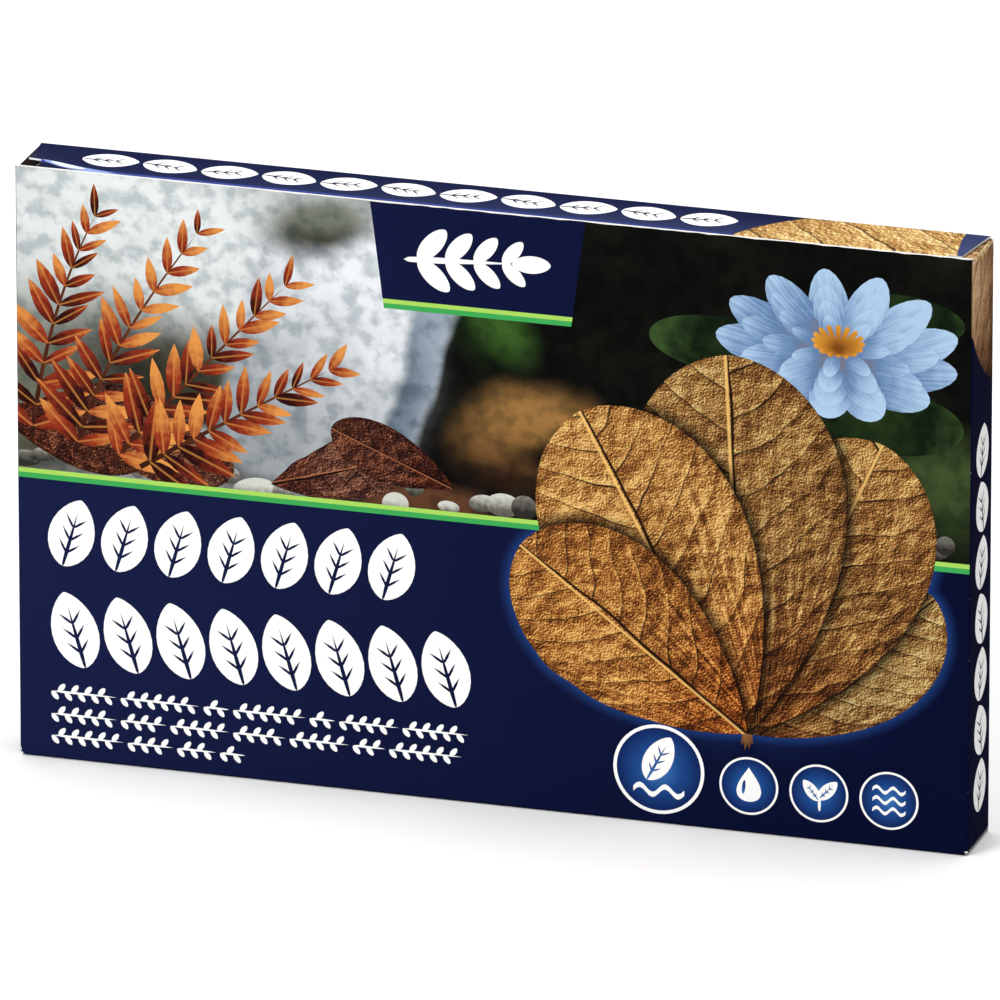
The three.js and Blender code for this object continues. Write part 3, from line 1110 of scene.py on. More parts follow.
@dataclass
class BoardSheet:
    """One piece of board: a printed face, the bare reverse and the raw cut edge between them."""

    name: str
    outline: Outline
    artwork: Artwork
    fold: Fold
    board: float
    lines: list[Outline]
    grid: Point = (14.0, 14.0)
    worn_lines: tuple[float, ...] = ()
    worn_levels: tuple[float, ...] = ()
    wear_reach: float = 0.9
    wear_strength: float = 0.55
    step: float = 8.0
    sharp: float = 32.0

    def build(self) -> Object:
        """Makes the mesh object.

        Returns:
            The object, in metres, in the carton's frame.
        """
        flat, triangles, ranks = self.triangulated()
        outer = self.fold.place(flat, 0.0)
        inner = self.fold.place(flat, self.board)
        a, b, c = (outer[triangles[:, i]] for i in range(3))
        if (np.cross(b - a, c - a) * (outer - inner)[triangles[:, 0]]).sum() <= 0:
            triangles = triangles[:, ::-1]
        count = len(flat)
        reverse = triangles[:, ::-1] + count
        rim = self.rim(triangles, count)
        faces = triangles.tolist() + reverse.tolist() + rim.tolist()
        mesh = bpy.data.meshes.new(self.name)
        mesh.from_pydata((np.vstack([outer, inner]) * MM).tolist(), [], faces)
        self.write_attributes(mesh, flat, triangles, ranks)
        self.assign_finishes(mesh, ranks, len(reverse), len(rim))
        mesh.shade_smooth()
        mesh.set_sharp_from_angle(angle=radians(self.sharp))
        return add_object(self.name, mesh)

    def triangulated(self) -> tuple[Array, Array, Array]:
        """Splits the flat sheet along its print and its folds.

        Returns:
            The sheet points, the triangles, and each triangle's topmost shape, 0 for the ground.
        """
        points: list[Point] = []
        faces: list[list[int]] = []
        edges: list[tuple[int, int]] = []
        for outline in [counter_clockwise(self.outline)] + [shape.outline for shape in self.artwork.shapes]:
            ring = self.stepped(outline + outline[:1])[:-1]
            faces.append(list(range(len(points), len(points) + len(ring))))
            points.extend(ring)
        for line in self.lines + [cut + cut[:1] for cut in self.artwork.cuts]:
            stepped = self.stepped(line)
            numbers = range(len(points), len(points) + len(stepped))
            edges.extend(zip(numbers, numbers[1:]))
            points.extend(stepped)
        points.extend(self.grid_points())
        made = delaunay_2d_cdt([Vector(p) for p in points], edges, faces, 0, MERGE, True)
        kept = [(face, max(ids)) for face, ids in zip(made[2], made[5]) if 0 in ids]
        triangles = np.array([face for face, _ in kept])
        used, compact = np.unique(triangles, return_inverse=True)
        flat = np.array([made[0][i][:] for i in used], float)
        return flat, compact.reshape(-1, 3), np.array([rank for _, rank in kept])

    def stepped(self, line: Outline) -> Outline:
        """Adds points to a line where its own lie far apart, so that it bends with the sheet.

        Args:
            line: Its points.

        Returns:
            The line with more points.
        """
        points: Outline = []
        for (a, b), (c, d) in zip(line, line[1:]):
            count = max(1, ceil(dist((a, b), (c, d)) / self.step))
            points.extend((a + (c - a) * i / count, b + (d - b) * i / count) for i in range(count))
        return points + line[-1:]

    def grid_points(self) -> Outline:
        """Spreads points over the sheet, for its swell to bend at.

        Returns:
            The points.
        """
        low = np.min(self.outline, axis=0) + np.array(self.grid) / 2
        high = np.max(self.outline, axis=0)
        columns = np.arange(low[0], high[0], self.grid[0])
        return [(float(a), float(b)) for a in columns for b in np.arange(low[1], high[1], self.grid[1])]

    def rim(self, triangles: Array, count: int) -> Array:
        """Four-sided faces of the cut edge.

        Args:
            triangles: Triangles of the printed face.
            count: Number of vertices on each face.

        Returns:
            The faces, n by 4.
        """
        sides = np.vstack([triangles[:, [0, 1]], triangles[:, [1, 2]], triangles[:, [2, 0]]])
        known = set(map(tuple, sides.tolist()))
        free = np.array([(i, j) for i, j in known if (j, i) not in known])
        free = free[np.lexsort((free[:, 1], free[:, 0]))]
        return np.column_stack([free[:, 0], free[:, 0] + count, free[:, 1] + count, free[:, 1]])

    def wear(self, flat: Array) -> Array:
        """How worn each sheet point is, from its distance to the worn folds and edges.

        Args:
            flat: Sheet points.

        Returns:
            The wear of each.
        """
        worn = np.zeros(len(flat))
        for column, places in ((0, self.worn_lines), (1, self.worn_levels)):
            for line in places:
                near = 1 - np.abs(flat[:, column] - line) / self.wear_reach
                worn = np.maximum(worn, near * self.wear_strength)
        return worn

    def write_attributes(self, mesh: Mesh, flat: Array, triangles: Array, ranks: Array) -> None:
        """Writes what the finishes read: sheet place, wear, motif place and nearness.

        Args:
            mesh: The mesh.
            flat: Sheet points.
            triangles: Triangles of the printed face.
            ranks: Topmost shape of each triangle.
        """
        place = np.column_stack([flat, np.zeros(len(flat))])
        both = np.vstack([place, place + np.array([0, 0, self.board])])
        store(mesh, "sheet", both)
        store(mesh, "wear", np.concatenate([self.wear(flat)] * 2))
        corners = flat[triangles.ravel()]
        corner_ranks = np.repeat(ranks, 3)
        art = np.zeros((len(mesh.loops), 3))
        for rank, shape in enumerate(self.artwork.shapes, start=1):
            here = np.flatnonzero(corner_ranks == rank)
            if shape.art and len(here):
                art[here] = shape.art.local(corners[here])
        near = np.zeros(len(mesh.loops))
        near[: len(corners)] = self.artwork.nearness(corners, corner_ranks)
        store(mesh, "art", art, "CORNER")
        store(mesh, "near", near, "CORNER")

    def assign_finishes(self, mesh: Mesh, ranks: Array, reverse: int, rim: int) -> None:
        """Gives each face its material.

        Args:
            mesh: The mesh.
            ranks: Topmost shape of each triangle.
            reverse: Number of faces on the reverse.
            rim: Number of faces on the cut edge.
        """
        by_rank = [self.artwork.ground] + [shape.finish for shape in self.artwork.shapes]
        wanted = [by_rank[rank] for rank in ranks] + [REVERSE] * reverse + [CUT_EDGE] * rim
        finishes = list(dict.fromkeys(wanted))
        for finish in finishes:
            mesh.materials.append(finish.material())
        numbers = {finish: number for number, finish in enumerate(finishes)}
        mesh.polygons.foreach_set("material_index", [numbers[finish] for finish in wanted])


CUT_EDGE = RawPaper("raw_cut_edge")
REVERSE = RawPaper("bare_board_reverse", tone=ink(206, 203, 197))
NAVY = NavyInk("navy_print")
# Closure navy with painted sheen towards the tuck crease and the right end.
LID_SHEEN_NAVY = LidSheenNavyInk("lid_navy_with_painted_sheen")
# Greyer navy of the right wall: painted sheen over the same navy ink as the front.
SIDE_SHEEN_NAVY = NavyInk("side_navy_with_painted_sheen", left=ink(21, 24, 52), right=ink(21, 24, 52))
# Paler blue band over the tuck crease: painted sheen, palest at the left near the lifted corner.
CREASE_SHEEN_NAVY = NavyInk("crease_navy_with_painted_sheen", 0.7, 0.04, left=ink(56, 70, 140), right=ink(44, 52, 104))
# Pale blue of the painted glare on the tuck crease.
GLARE_NAVY = FlatInk("glare_navy_print", colour=ink(140, 160, 214))
WHITE = FlatInk("white_print")
PALE_GREEN = FlatInk("light_green_print", colour=ink(165, 211, 92))
GREEN = FlatInk("mid_green_print", colour=ink(60, 165, 83))
# Dark brown put on the top left dust flap and its crease as painted shade in the gap under the closure.
PAINTED_SHADE_BROWN = FlatInk("painted_shade_dark_brown", colour=ink(30, 22, 16))
# Cream of the painted highlight along the right fold.
FOLD_HIGHLIGHT = FlatInk("painted_fold_highlight", colour=ink(150, 122, 86))
LEAF_PRINT = LeafInk("leaf_print")
PALE_LEAF = LeafInk("pale_leaf_print", brown=ink(150, 100, 52), gold=ink(198, 148, 84),
                    light=ink(246, 216, 158))
LID_LEAF = LeafInk("lid_leaf_print", brown=ink(150, 100, 52), gold=ink(200, 148, 78),
                   light=ink(255, 222, 152), grain=1.2, crumple=0.7)
SIDE_LEAF = LeafInk("side_leaf_print", brown=ink(120, 76, 42), gold=ink(190, 140, 92),
                    light=ink(228, 182, 130), crumple=0.5, lean=-2.5, drop=-0.4, tip=-0.62)
LITTER = LeafInk("fallen_leaf_print", shadow=ink(22, 10, 8), brown=ink(58, 26, 18), gold=ink(98, 46, 28),
                 light=ink(172, 106, 68), line=ink(20, 10, 8), breadth=0.42)
BADGE = ShapeInk("badge_print", low=ink(58, 116, 180), middle=ink(26, 70, 136), high=ink(12, 34, 88),
                 spread=Spread.ROUND, run=1.0, variety=0.0, mottle=0.1)
SPRIG = ShapeInk("red_sprig_print", low=ink(44, 12, 11), middle=ink(142, 46, 24), high=ink(216, 142, 68),
                 run=0.75, variety=0.9, mottle=0.6, grain=2.0, rib=0.45, streaks=0.7)
STEM = ShapeInk("sprig_stem_print", low=ink(48, 20, 14), middle=ink(110, 54, 28), high=ink(176, 108, 58),
                run=0.4, mottle=0.5)
PETAL = ShapeInk("petal_print", low=ink(122, 94, 62), middle=ink(92, 124, 166), high=ink(166, 194, 222),
                 run=1.0, variety=0.35, mottle=0.35, grain=4.0, streaks=0.6)
STAMEN = ShapeInk("stamen_print", low=ink(120, 66, 18), middle=ink(206, 140, 44), high=ink(248, 214, 128))
STALK = ShapeInk("leaf_stalk_print", low=ink(150, 104, 58), middle=ink(116, 76, 42), high=ink(70, 42, 24),
                 run=0.7, variety=0.3, mottle=0.3, rib=0.4)
PAD = ShapeInk("pad_print", low=ink(36, 54, 22), middle=ink(14, 26, 12), high=ink(52, 76, 36),
               spread=Spread.ROUND, run=0.8, variety=0.4, mottle=0.8, grain=4.0)
PEBBLE = ShapeInk("pebble_print", low=ink(44, 42, 38), middle=ink(104, 102, 94), high=ink(200, 200, 192),
                  run=0.9, variety=0.7, mottle=0.6, grain=1.6)


@dataclass(frozen=True)
class WhiteLeaf:
    """Bold white leaf with its midrib and side veins cut out of it."""

    finish: Finish = WHITE
    ground: Finish = NAVY
    cut: float = 0.055
    cut_length: float = 0.84
    pairs: int = 3
    first_pair: float = 0.2
    pair_step: float = 0.19
    vein_lean: float = 42.0
    vein_length: float = 0.36

    def draw(self, art: Artwork, centre: Point, angle: float, length: float, breadth: float) -> None:
        """Paints the leaf.

        Args:
            art: The print to paint on.
            centre: Middle of the leaf.
            angle: Direction in which it points.
            length: Its length.
            breadth: Its breadth.
        """
        base = point_at(centre, angle, -length / 2)
        leaf = Blade(base, angle, length, breadth, widest=0.46, power=0.62)
        art.blade(leaf, self.finish)
        cut = length * self.cut
        art.blade(Blade(leaf.at(-0.02), angle, length * self.cut_length, cut, 0.3, 0.5, 6), self.ground)
        for pair in range(self.pairs):
            start = leaf.at(self.first_pair + self.pair_step * pair)
            for lean in (-self.vein_lean, self.vein_lean):
                vein = Blade(start, angle + lean, breadth * self.vein_length, cut * 0.7, 0.3, 0.5, 4)
                art.blade(vein, self.ground)


class Motif:
    """Part of the print that paints itself."""

    def draw(self, art: Artwork) -> None:
        """Paints the motif.

        Args:
            art: The print to paint on.
        """
        raise NotImplementedError


@dataclass(frozen=True)
class LeafFrieze(Motif):
    """Row of bold white leaves."""

    start: Point
    heading: float
    pitch: float
    count: int
    length: float
    breadth: float
    points: float
    sway: float
    leaf: WhiteLeaf = WhiteLeaf()

    def draw(self, art: Artwork) -> None:
        """Paints the row, its leaves leaning by turns to either side."""
        for number in range(self.count):
            centre = point_at(self.start, self.heading, number * self.pitch)
            lean = self.sway if number % 2 else -self.sway
            self.leaf.draw(art, centre, self.points + lean, self.length, self.breadth)


@dataclass(frozen=True)
class TwigRow(Motif):
    """Row of small white twigs with leaves on alternate sides."""

    start: Point
    length: float
    pitch: float = 1.85
    leaf: float = 2.9
    breadth: float = 1.5
    lean: float = 50.0
    gap: float = 2.6
    leaves: tuple[int, int] = (3, 11)
    stem: float = 0.62
    tip: float = 1.4
    seed: int = 5

    def draw(self, art: Artwork) -> None:
        """Paints twigs of different lengths."""
        rng = random.Random(self.seed)
        along = 0.0
        while along < self.length - 3 * self.pitch:
            leaves = min(rng.randint(*self.leaves), int((self.length - along) / self.pitch))
            left = self.start[0] + along
            twig = Blade((left, self.start[1]), 0, leaves * self.pitch + self.tip, self.stem, 0.3, 0.25, 4)
            art.blade(twig, WHITE)
            for number in range(leaves):
                lean = self.lean if number % 2 else -self.lean
                base = (left + number * self.pitch, self.start[1])
                art.blade(Blade(base, lean, self.leaf, self.breadth, 0.5, 0.6, 5), WHITE)
            along += leaves * self.pitch + self.gap


class Glyph(Enum):
    """Plain white figures in the badges."""

    LEAF = "leaf"
    DROP = "drop"
    SPRIG = "sprig"
    RIPPLES = "ripples"


@dataclass(frozen=True)
class Badge(Motif):
    """Round blue badge with a white ring and a plain white figure."""

    centre: Point
    radius: float
    glyph: Glyph
    ring: float = 0.075

    def draw(self, art: Artwork) -> None:
        """Paints the ring, the blue disc and the figure."""
        r = self.radius
        art.paint(ellipse(self.centre, (r, r), steps=56), WHITE)
        inner = r * (1 - self.ring)
        art.paint(ellipse(self.centre, (inner, inner), steps=56), BADGE, ArtFrame(self.centre, 0.0, inner))
        x, y = self.centre
        figure = WhiteLeaf(ground=BADGE)
        if self.glyph is Glyph.LEAF:
            figure.draw(art, (x, y + r * 0.24), 62, r * 1.12, r * 0.62)
            self.ripples(art, -0.48)
        elif self.glyph is Glyph.DROP:
            art.blade(Blade((x, y - r * 0.55), 90, r * 1.2, r * 0.84, 0.3, 0.5), WHITE)
            art.blade(Blade((x - r * 0.2, y - r * 0.3), 84, r * 0.5, r * 0.12, 0.5, 0.5, 6), BADGE)
        elif self.glyph is Glyph.SPRIG:
            figure.draw(art, (x - r * 0.26, y + r * 0.08), 128, r * 0.86, r * 0.42)
            figure.draw(art, (x + r * 0.3, y + r * 0.12), 46, r * 0.92, r * 0.44)
            art.blade(Blade((x + r * 0.02, y - r * 0.62), 90, r * 0.5, r * 0.1, 0.5, 0.4, 6), WHITE)
        else:
            for level in (-0.36, 0.0, 0.36):
                self.ripples(art, level)

    def ripples(self, art: Artwork, level: float) -> None:
        """Paints one line of two waves.

        Args:
            art: The print to paint on.
            level: Its height over the badge's middle, as a share of the radius.
        """
        r = self.radius
        left = self.centre[0] - r * 0.56
        middle = self.centre[1] + r * level
        crest = [(left + r * 0.07 * i, middle + r * 0.1 * sin(pi * i / 4)) for i in range(17)]
        band = [(a, b - r * 0.06) for a, b in crest] + [(a, b + r * 0.06) for a, b in crest[::-1]]
        art.paint(band, WHITE)


def print_leaf(base: Point, angle: float, length: float, leaf: LeafInk = LEAF_PRINT) -> Blade:
    """Outline of one printed dried leaf.

    Args:
        base: Where its stalk ends.
        angle: Direction in which it points.
        length: Its length.
        leaf: The finish whose proportions it has.

    Returns:
        The outline.
    """
    return Blade(base, angle, length, leaf.breadth * length, leaf.widest, leaf.power, 34, 0.012)


@dataclass(frozen=True)
class LeafFan(Motif):
    """Fan of printed dried leaves whose stalks meet."""

    base: Point
    size: float = 1.0
    glow: float = 3.4
    leaves: tuple[Place, ...] = (
        (40.0, 66.0, 0.93), (66.0, 91.0, 0.62), (93.0, 104.0, 0.8), (118.0, 96.0, 0.34), (143.0, 77.0, 0.06),
    )
    stalks: tuple[Point, ...] = ((254.0, 5.6), (265.0, 6.8), (276.0, 6.4), (287.0, 5.2))
    stalk_breadth: float = 1.5
    stalk_overlap: float = 2.0

    def draw(self, art: Artwork) -> None:
        """Paints the stalks, then the leaves one over the other from the right to the left."""
        size = self.size
        root = (self.base[0], self.base[1] + self.stalk_overlap * size)
        for angle, length in self.stalks:
            art.blade(Blade(root, angle, length * size, self.stalk_breadth * size, 0.2, 0.2, 8), STALK)
        for angle, length, seed in self.leaves:
            art.blade(print_leaf(self.base, angle, length * size), LEAF_PRINT, seed, self.glow * size)


@dataclass(frozen=True)
class RedSprigs(Motif):
    """Spray of red water-plant shoots, leafy from base to tip."""

    shoots: tuple[tuple[Point, Point, Point, int], ...]
    seed: int = 11
    lowest: float = 0.06
    leaf_length: float = 17.0
    shortening: float = 8.5
    spread: float = 62.0
    closing: float = 30.0
    stem_half: float = 0.75
    thinning: float = 0.05

    def draw(self, art: Artwork) -> None:
        """Paints each shoot: its stem, then its leaves from the base up."""
        rng = random.Random(self.seed)
        for *bends, count in self.shoots:
            self.stem(art, [self.curve(bends, i / 12) for i in range(13)])
            for number in range(count):
                share = self.lowest + (1 - self.lowest) * number / (count - 1)
                here = self.curve(bends, share)
                ahead = self.curve(bends, min(share + 0.03, 1.03))
                heading = degrees(atan2(ahead[1] - here[1], ahead[0] - here[0]))
                for sign in (-1, 1):
                    length = (self.leaf_length - self.shortening * share) * rng.uniform(0.8, 1.15)
                    angle = heading + sign * (self.spread - self.closing * share + rng.uniform(-10, 10))
                    leaf = Blade(here, angle, length, length * rng.uniform(0.24, 0.33), 0.42, 0.75, 8)
                    art.blade(leaf, SPRIG, rng.random())

    def curve(self, bends: Sequence[Point], share: float) -> Point:
        """Point on a quadratic curve.

        Args:
            bends: Its start, the place that it bends towards, and its end.
            share: Share of the way along it.

        Returns:
            The point.
        """
        rest = 1 - share
        weights = (rest * rest, 2 * rest * share, share * share)
        return tuple(sum(w * p[k] for w, p in zip(weights, bends)) for k in (0, 1))

    def stem(self, art: Artwork, points: Outline) -> None:
        """Paints a stem that thins towards its tip.

        Args:
            art: The print to paint on.
            points: Points along its middle.
        """
        left = []
        right = []
        for number, ((a, b), (c, d)) in enumerate(zip(points, points[1:])):
            step = hypot(c - a, d - b)
            half = self.stem_half - self.thinning * number
            across = ((b - d) / step * half, (c - a) / step * half)
            left.append((a + across[0], b + across[1]))
            right.append((a - across[0], b - across[1]))
        art.paint(left + [points[-1]] + right[::-1], STEM, ArtFrame(points[0], 45.0, 60.0))


@dataclass(frozen=True)
class WaterLily(Motif):
    """Pale water lily seen from a little above."""

    centre: Point
    radius: float
    squash: float = 0.62
    lift: float = 0.22
    rings: tuple[tuple[int, float, float, float], ...] = (
        (13, 1.0, 0.34, 0.0), (11, 0.82, 0.32, 0.05), (9, 0.62, 0.32, 0.11), (7, 0.42, 0.3, 0.16),
    )
    stamens: int = 16

    def draw(self, art: Artwork) -> None:
        """Paints its rings of petals from the back to the front, then its stamens."""
        for count, share, slim, rise in self.rings:
            turns = [360 * (i + 0.5 * (count % 4 == 1)) / count for i in range(count)]
            for turn in sorted(turns, key=lambda t: -sin(radians(t))):
                ray = self.ray(turn, share, self.lift * share, rise)
                breadth = self.radius * share * slim
                tint = 0.5 + 0.5 * sin(radians(turn * 1.7))
                art.blade(replace(ray, breadth=breadth, widest=0.56, power=0.7, steps=12), PETAL, tint)
        for number in range(self.stamens):
            ray = self.ray(360 * number / self.stamens, 0.22, 0.4, 0.16)
            art.blade(replace(ray, breadth=self.radius * 0.045, widest=0.75, power=0.6, steps=6), STAMEN)

    def ray(self, turn: float, reach: float, lift: float, rise: float) -> Blade:
        """Blade that points out of the heart, foreshortened where it points up or down the picture.

        Args:
            turn: Direction in which it points.
            reach: Its length when level, as a share of the radius.
            lift: How far it leans up the picture.
            rise: How far up its base lies, as a share of the radius.

        Returns:
            The blade, as broad as it is long.
        """
        x = cos(radians(turn))
        y = sin(radians(turn)) * self.squash + lift
        base = (self.centre[0], self.centre[1] + self.radius * rise)
        length = self.radius * reach * hypot(x, y)
        return Blade(base, degrees(atan2(y, x)), length, length)


@dataclass
class FrontPrint:
    """Print of the front wall. Its places are measured from the wall's top left corner."""

    sizes: CartonSizes
    art: Artwork
    picture_depth: float = 83.5
    light_stripe: float = 1.25
    green_stripe: float = 1.45
    margin: float = 0.3
    top_rim: float = 0.2
    rim_step: float = 3.1
    overhang: float = 0.4
    scuffing: Point = (0.75, 1.2)

    def at(self, across: float, down: float) -> Point:
        """Sheet point so far from the left fold and from the top."""
        return (across - self.sizes.width / 2, self.sizes.height - down)

    def band(self, top: float, low: float) -> Outline:
        """Band across the front, between two places so far from the top."""
        return box_outline(self.at(self.margin, low), self.at(self.sizes.width - self.margin, top))

    def paint(self) -> None:
        """Paints the whole front."""
        art = self.art
        top = self.picture_depth
        low = top + self.light_stripe
        art.paint(self.band(-2, top), self.backdrop())
        self.pebbles()
        self.fallen_leaves()
        self.lily_pads()
        WaterLily(self.at(224, 34), 33.0).draw(art)
        self.sprigs()
        art.paint(self.band(top, 110), NAVY)
        art.paint(self.band(top, low), PALE_GREEN)
        art.paint(self.band(low, low + self.green_stripe), GREEN)
        self.tab()
        LeafFan(self.at(200, 136.5)).draw(art)
        LeafFrieze(self.at(15.0, 100.5), 0, 14.7, 7, 19.5, 12.6, 74, 0).draw(art)
        LeafFrieze(self.at(15.5, 127.5), 0, 14.6, 8, 21.5, 13.0, 106, 0).draw(art)
        for down, length in ((145.2, 114.0), (151.5, 114.0), (157.6, 60.0)):
            TwigRow(self.at(9.0, down), length, seed=int(down)).draw(art)
        Badge(self.at(176, 149), 12.4, Glyph.LEAF).draw(art)
        for across, glyph in ((200.5, Glyph.DROP), (219.5, Glyph.SPRIG), (238.5, Glyph.RIPPLES)):
            Badge(self.at(across, 151), 8.0, glyph).draw(art)
        self.worn_places()

    def backdrop(self) -> Backdrop:
        """Pale slabs and their shadow at the left, golden wood, dark water at the right.

        Returns:
            The finish.
        """
        patches = (
            Blur(self.at(30, 40), (66, 62), 0, ink(222, 226, 225), ink(160, 163, 160), 0.4),
            Blur(self.at(6, 64), (30, 26), 8, ink(120, 122, 106), ink(64, 62, 50), 0.6),
            Blur(self.at(52, 62), (40, 19), -24, ink(62, 60, 46), ink(24, 22, 16), 0.55),
            Blur(self.at(38, 74), (17, 6), 8, ink(176, 182, 176), ink(118, 120, 112), 0.35, 2.6),
            Blur(self.at(88, 42), (27, 42), -15, ink(228, 231, 234), ink(146, 152, 156), 0.09, 5.0),
            Blur(self.at(111, 44), (5, 38), -15, ink(150, 164, 176), ink(88, 102, 116), 0.4, 4.0),
            Blur(self.at(84, 8), (15, 8), 12, ink(120, 124, 112), ink(52, 54, 42), 0.5),
            Blur(self.at(104, 86), (24, 9), 4, ink(92, 58, 38), ink(40, 22, 14), 0.2, 3.0),
            Blur(self.at(141, 62), (19, 14), 14, ink(152, 110, 58), ink(50, 30, 16), 0.4),
            Blur(self.at(146, 66), (7, 3), -8, ink(52, 32, 18), ink(30, 18, 10), 0.6),
            Blur(self.at(131, 34), (9, 8), -20, ink(58, 96, 34), ink(24, 40, 16), 0.7),
            Blur(self.at(252, 68), (22, 16), 0, ink(60, 78, 40), ink(24, 32, 16), 0.5),
        )
        return Backdrop("river_bed_print", patches=patches)

    def pebbles(self) -> None:
        """Paints small stones along the lower edge of the picture."""
        rng = random.Random(3)
        for number in range(34):
            across = 4 + number * 7.6 + rng.uniform(-3, 3)
            radii = (rng.uniform(2.4, 6.2), rng.uniform(1.6, 3.4))
            centre = self.at(across, rng.uniform(77.5, 83.0))
            stone = ellipse(centre, radii, rng.uniform(-15, 15), 22)
            foot = (centre[0], centre[1] - radii[1])
            self.art.paint(stone, PEBBLE, ArtFrame(foot, 90, 2 * radii[1], rng.random()))

    def fallen_leaves(self) -> None:
        """Paints dark fallen leaves over the stones."""
        places = ((-6, 68, -12, 44, 0.2), (58, 76, 164, 46, 0.6), (70, 81, 16, 40, 0.9),
                  (120, 77, 158, 36, 0.4), (28, 79, 2, 32, 0.7))
        for across, down, angle, length, seed in places:
            leaf = print_leaf(self.at(across, down), angle, length, LITTER)
            self.art.blade(replace(leaf, steps=22, ragged=0.05), LITTER, seed)

    def lily_pads(self) -> None:
        """Paints round pads behind the lily."""
        pads = ((234, 46, 24, 0.3), (192, 30, 19, 0.8), (214, 60, 22, 0.5), (242, 18, 16, 0.1))
        for across, down, wide, seed in pads:
            centre = self.at(across, down)
            self.art.paint(ellipse(centre, (wide, wide * 0.4), -4, 36), PAD, ArtFrame(centre, 0, wide, seed))

    def sprigs(self) -> None:
        """Paints the red shoots at the upper left."""
        at = self.at
        RedSprigs((
            (at(4, 76), at(8, 40), at(22, 12), 12),
            (at(16, 78), at(22, 52), at(50, 14), 13),
            (at(26, 80), at(44, 58), at(74, 26), 14),
            (at(34, 80), at(56, 66), at(86, 48), 12),
        )).draw(self.art)

    def tab(self) -> None:
        """Paints the plain tab that hangs from the top, with a white sprig on it."""
        for finish, down in ((GREEN, 29.2), (PALE_GREEN, 27.8), (NAVY, 26.6)):
            lean = 4 * down / 29
            places = ((97, -2), (156, -2), (156 - lean, down), (97 + lean, down))
            self.art.paint([self.at(*place) for place in places], finish)
        stem = Blade(self.at(106.5, 15.2), 3, 32, 1.7, 0.2, 0.3, 8)
        self.art.blade(stem, WHITE)
        for number in range(4):
            for sign in (-1, 1):
                base = stem.at(0.12 + 0.24 * number)
                length = 11.6 - 1.1 * number
                self.art.blade(Blade(base, 3 + sign * 46, length, length * 0.44, 0.5, 0.6), WHITE)
        self.art.blade(Blade(stem.at(0.92), 3, 10.5, 4.8, 0.5, 0.6), WHITE)

    def worn_places(self) -> None:
        """Paints the bare rim along the top edge, and the scuffed corners and fold."""
        rng = random.Random(8)
        edge = self.sizes.width / 2
        half = edge + self.overhang
        top = self.sizes.height
        rim = top - self.top_rim
        count = int(2 * half / self.rim_step) + 1
        lower = [(half - i * self.rim_step, rim - rng.uniform(-0.14, 0.12)) for i in range(count)]
        self.art.paint([(-half, top + 1), (half, top + 1)] + lower + [(-half, rim)], CUT_EDGE)
        scuffs = ((-edge + 0.1, 1.6, 0.4, 0.7), (edge - 0.6, 1.0, 0.4, 0.22),
                  (-edge + 0.05, 133.2, 0.16, 0.9), (edge - 0.2, 0.8, 0.22, 0.4))
        for a, b, wide, tall in scuffs:
            ring = ellipse((0, 0), (wide, tall), 0, 11)
            blot = [(x * rng.uniform(*self.scuffing), y * rng.uniform(*self.scuffing)) for x, y in ring]
            self.art.paint([(a + x, b + y) for x, y in blot], CUT_EDGE)


class Piece:
    """Piece of board that lays out, prints and folds its own sheet."""

    def build(self) -> Object:
        """Builds the piece and places it on its body.

        Returns:
            Its object.
        """
        raise NotImplementedError


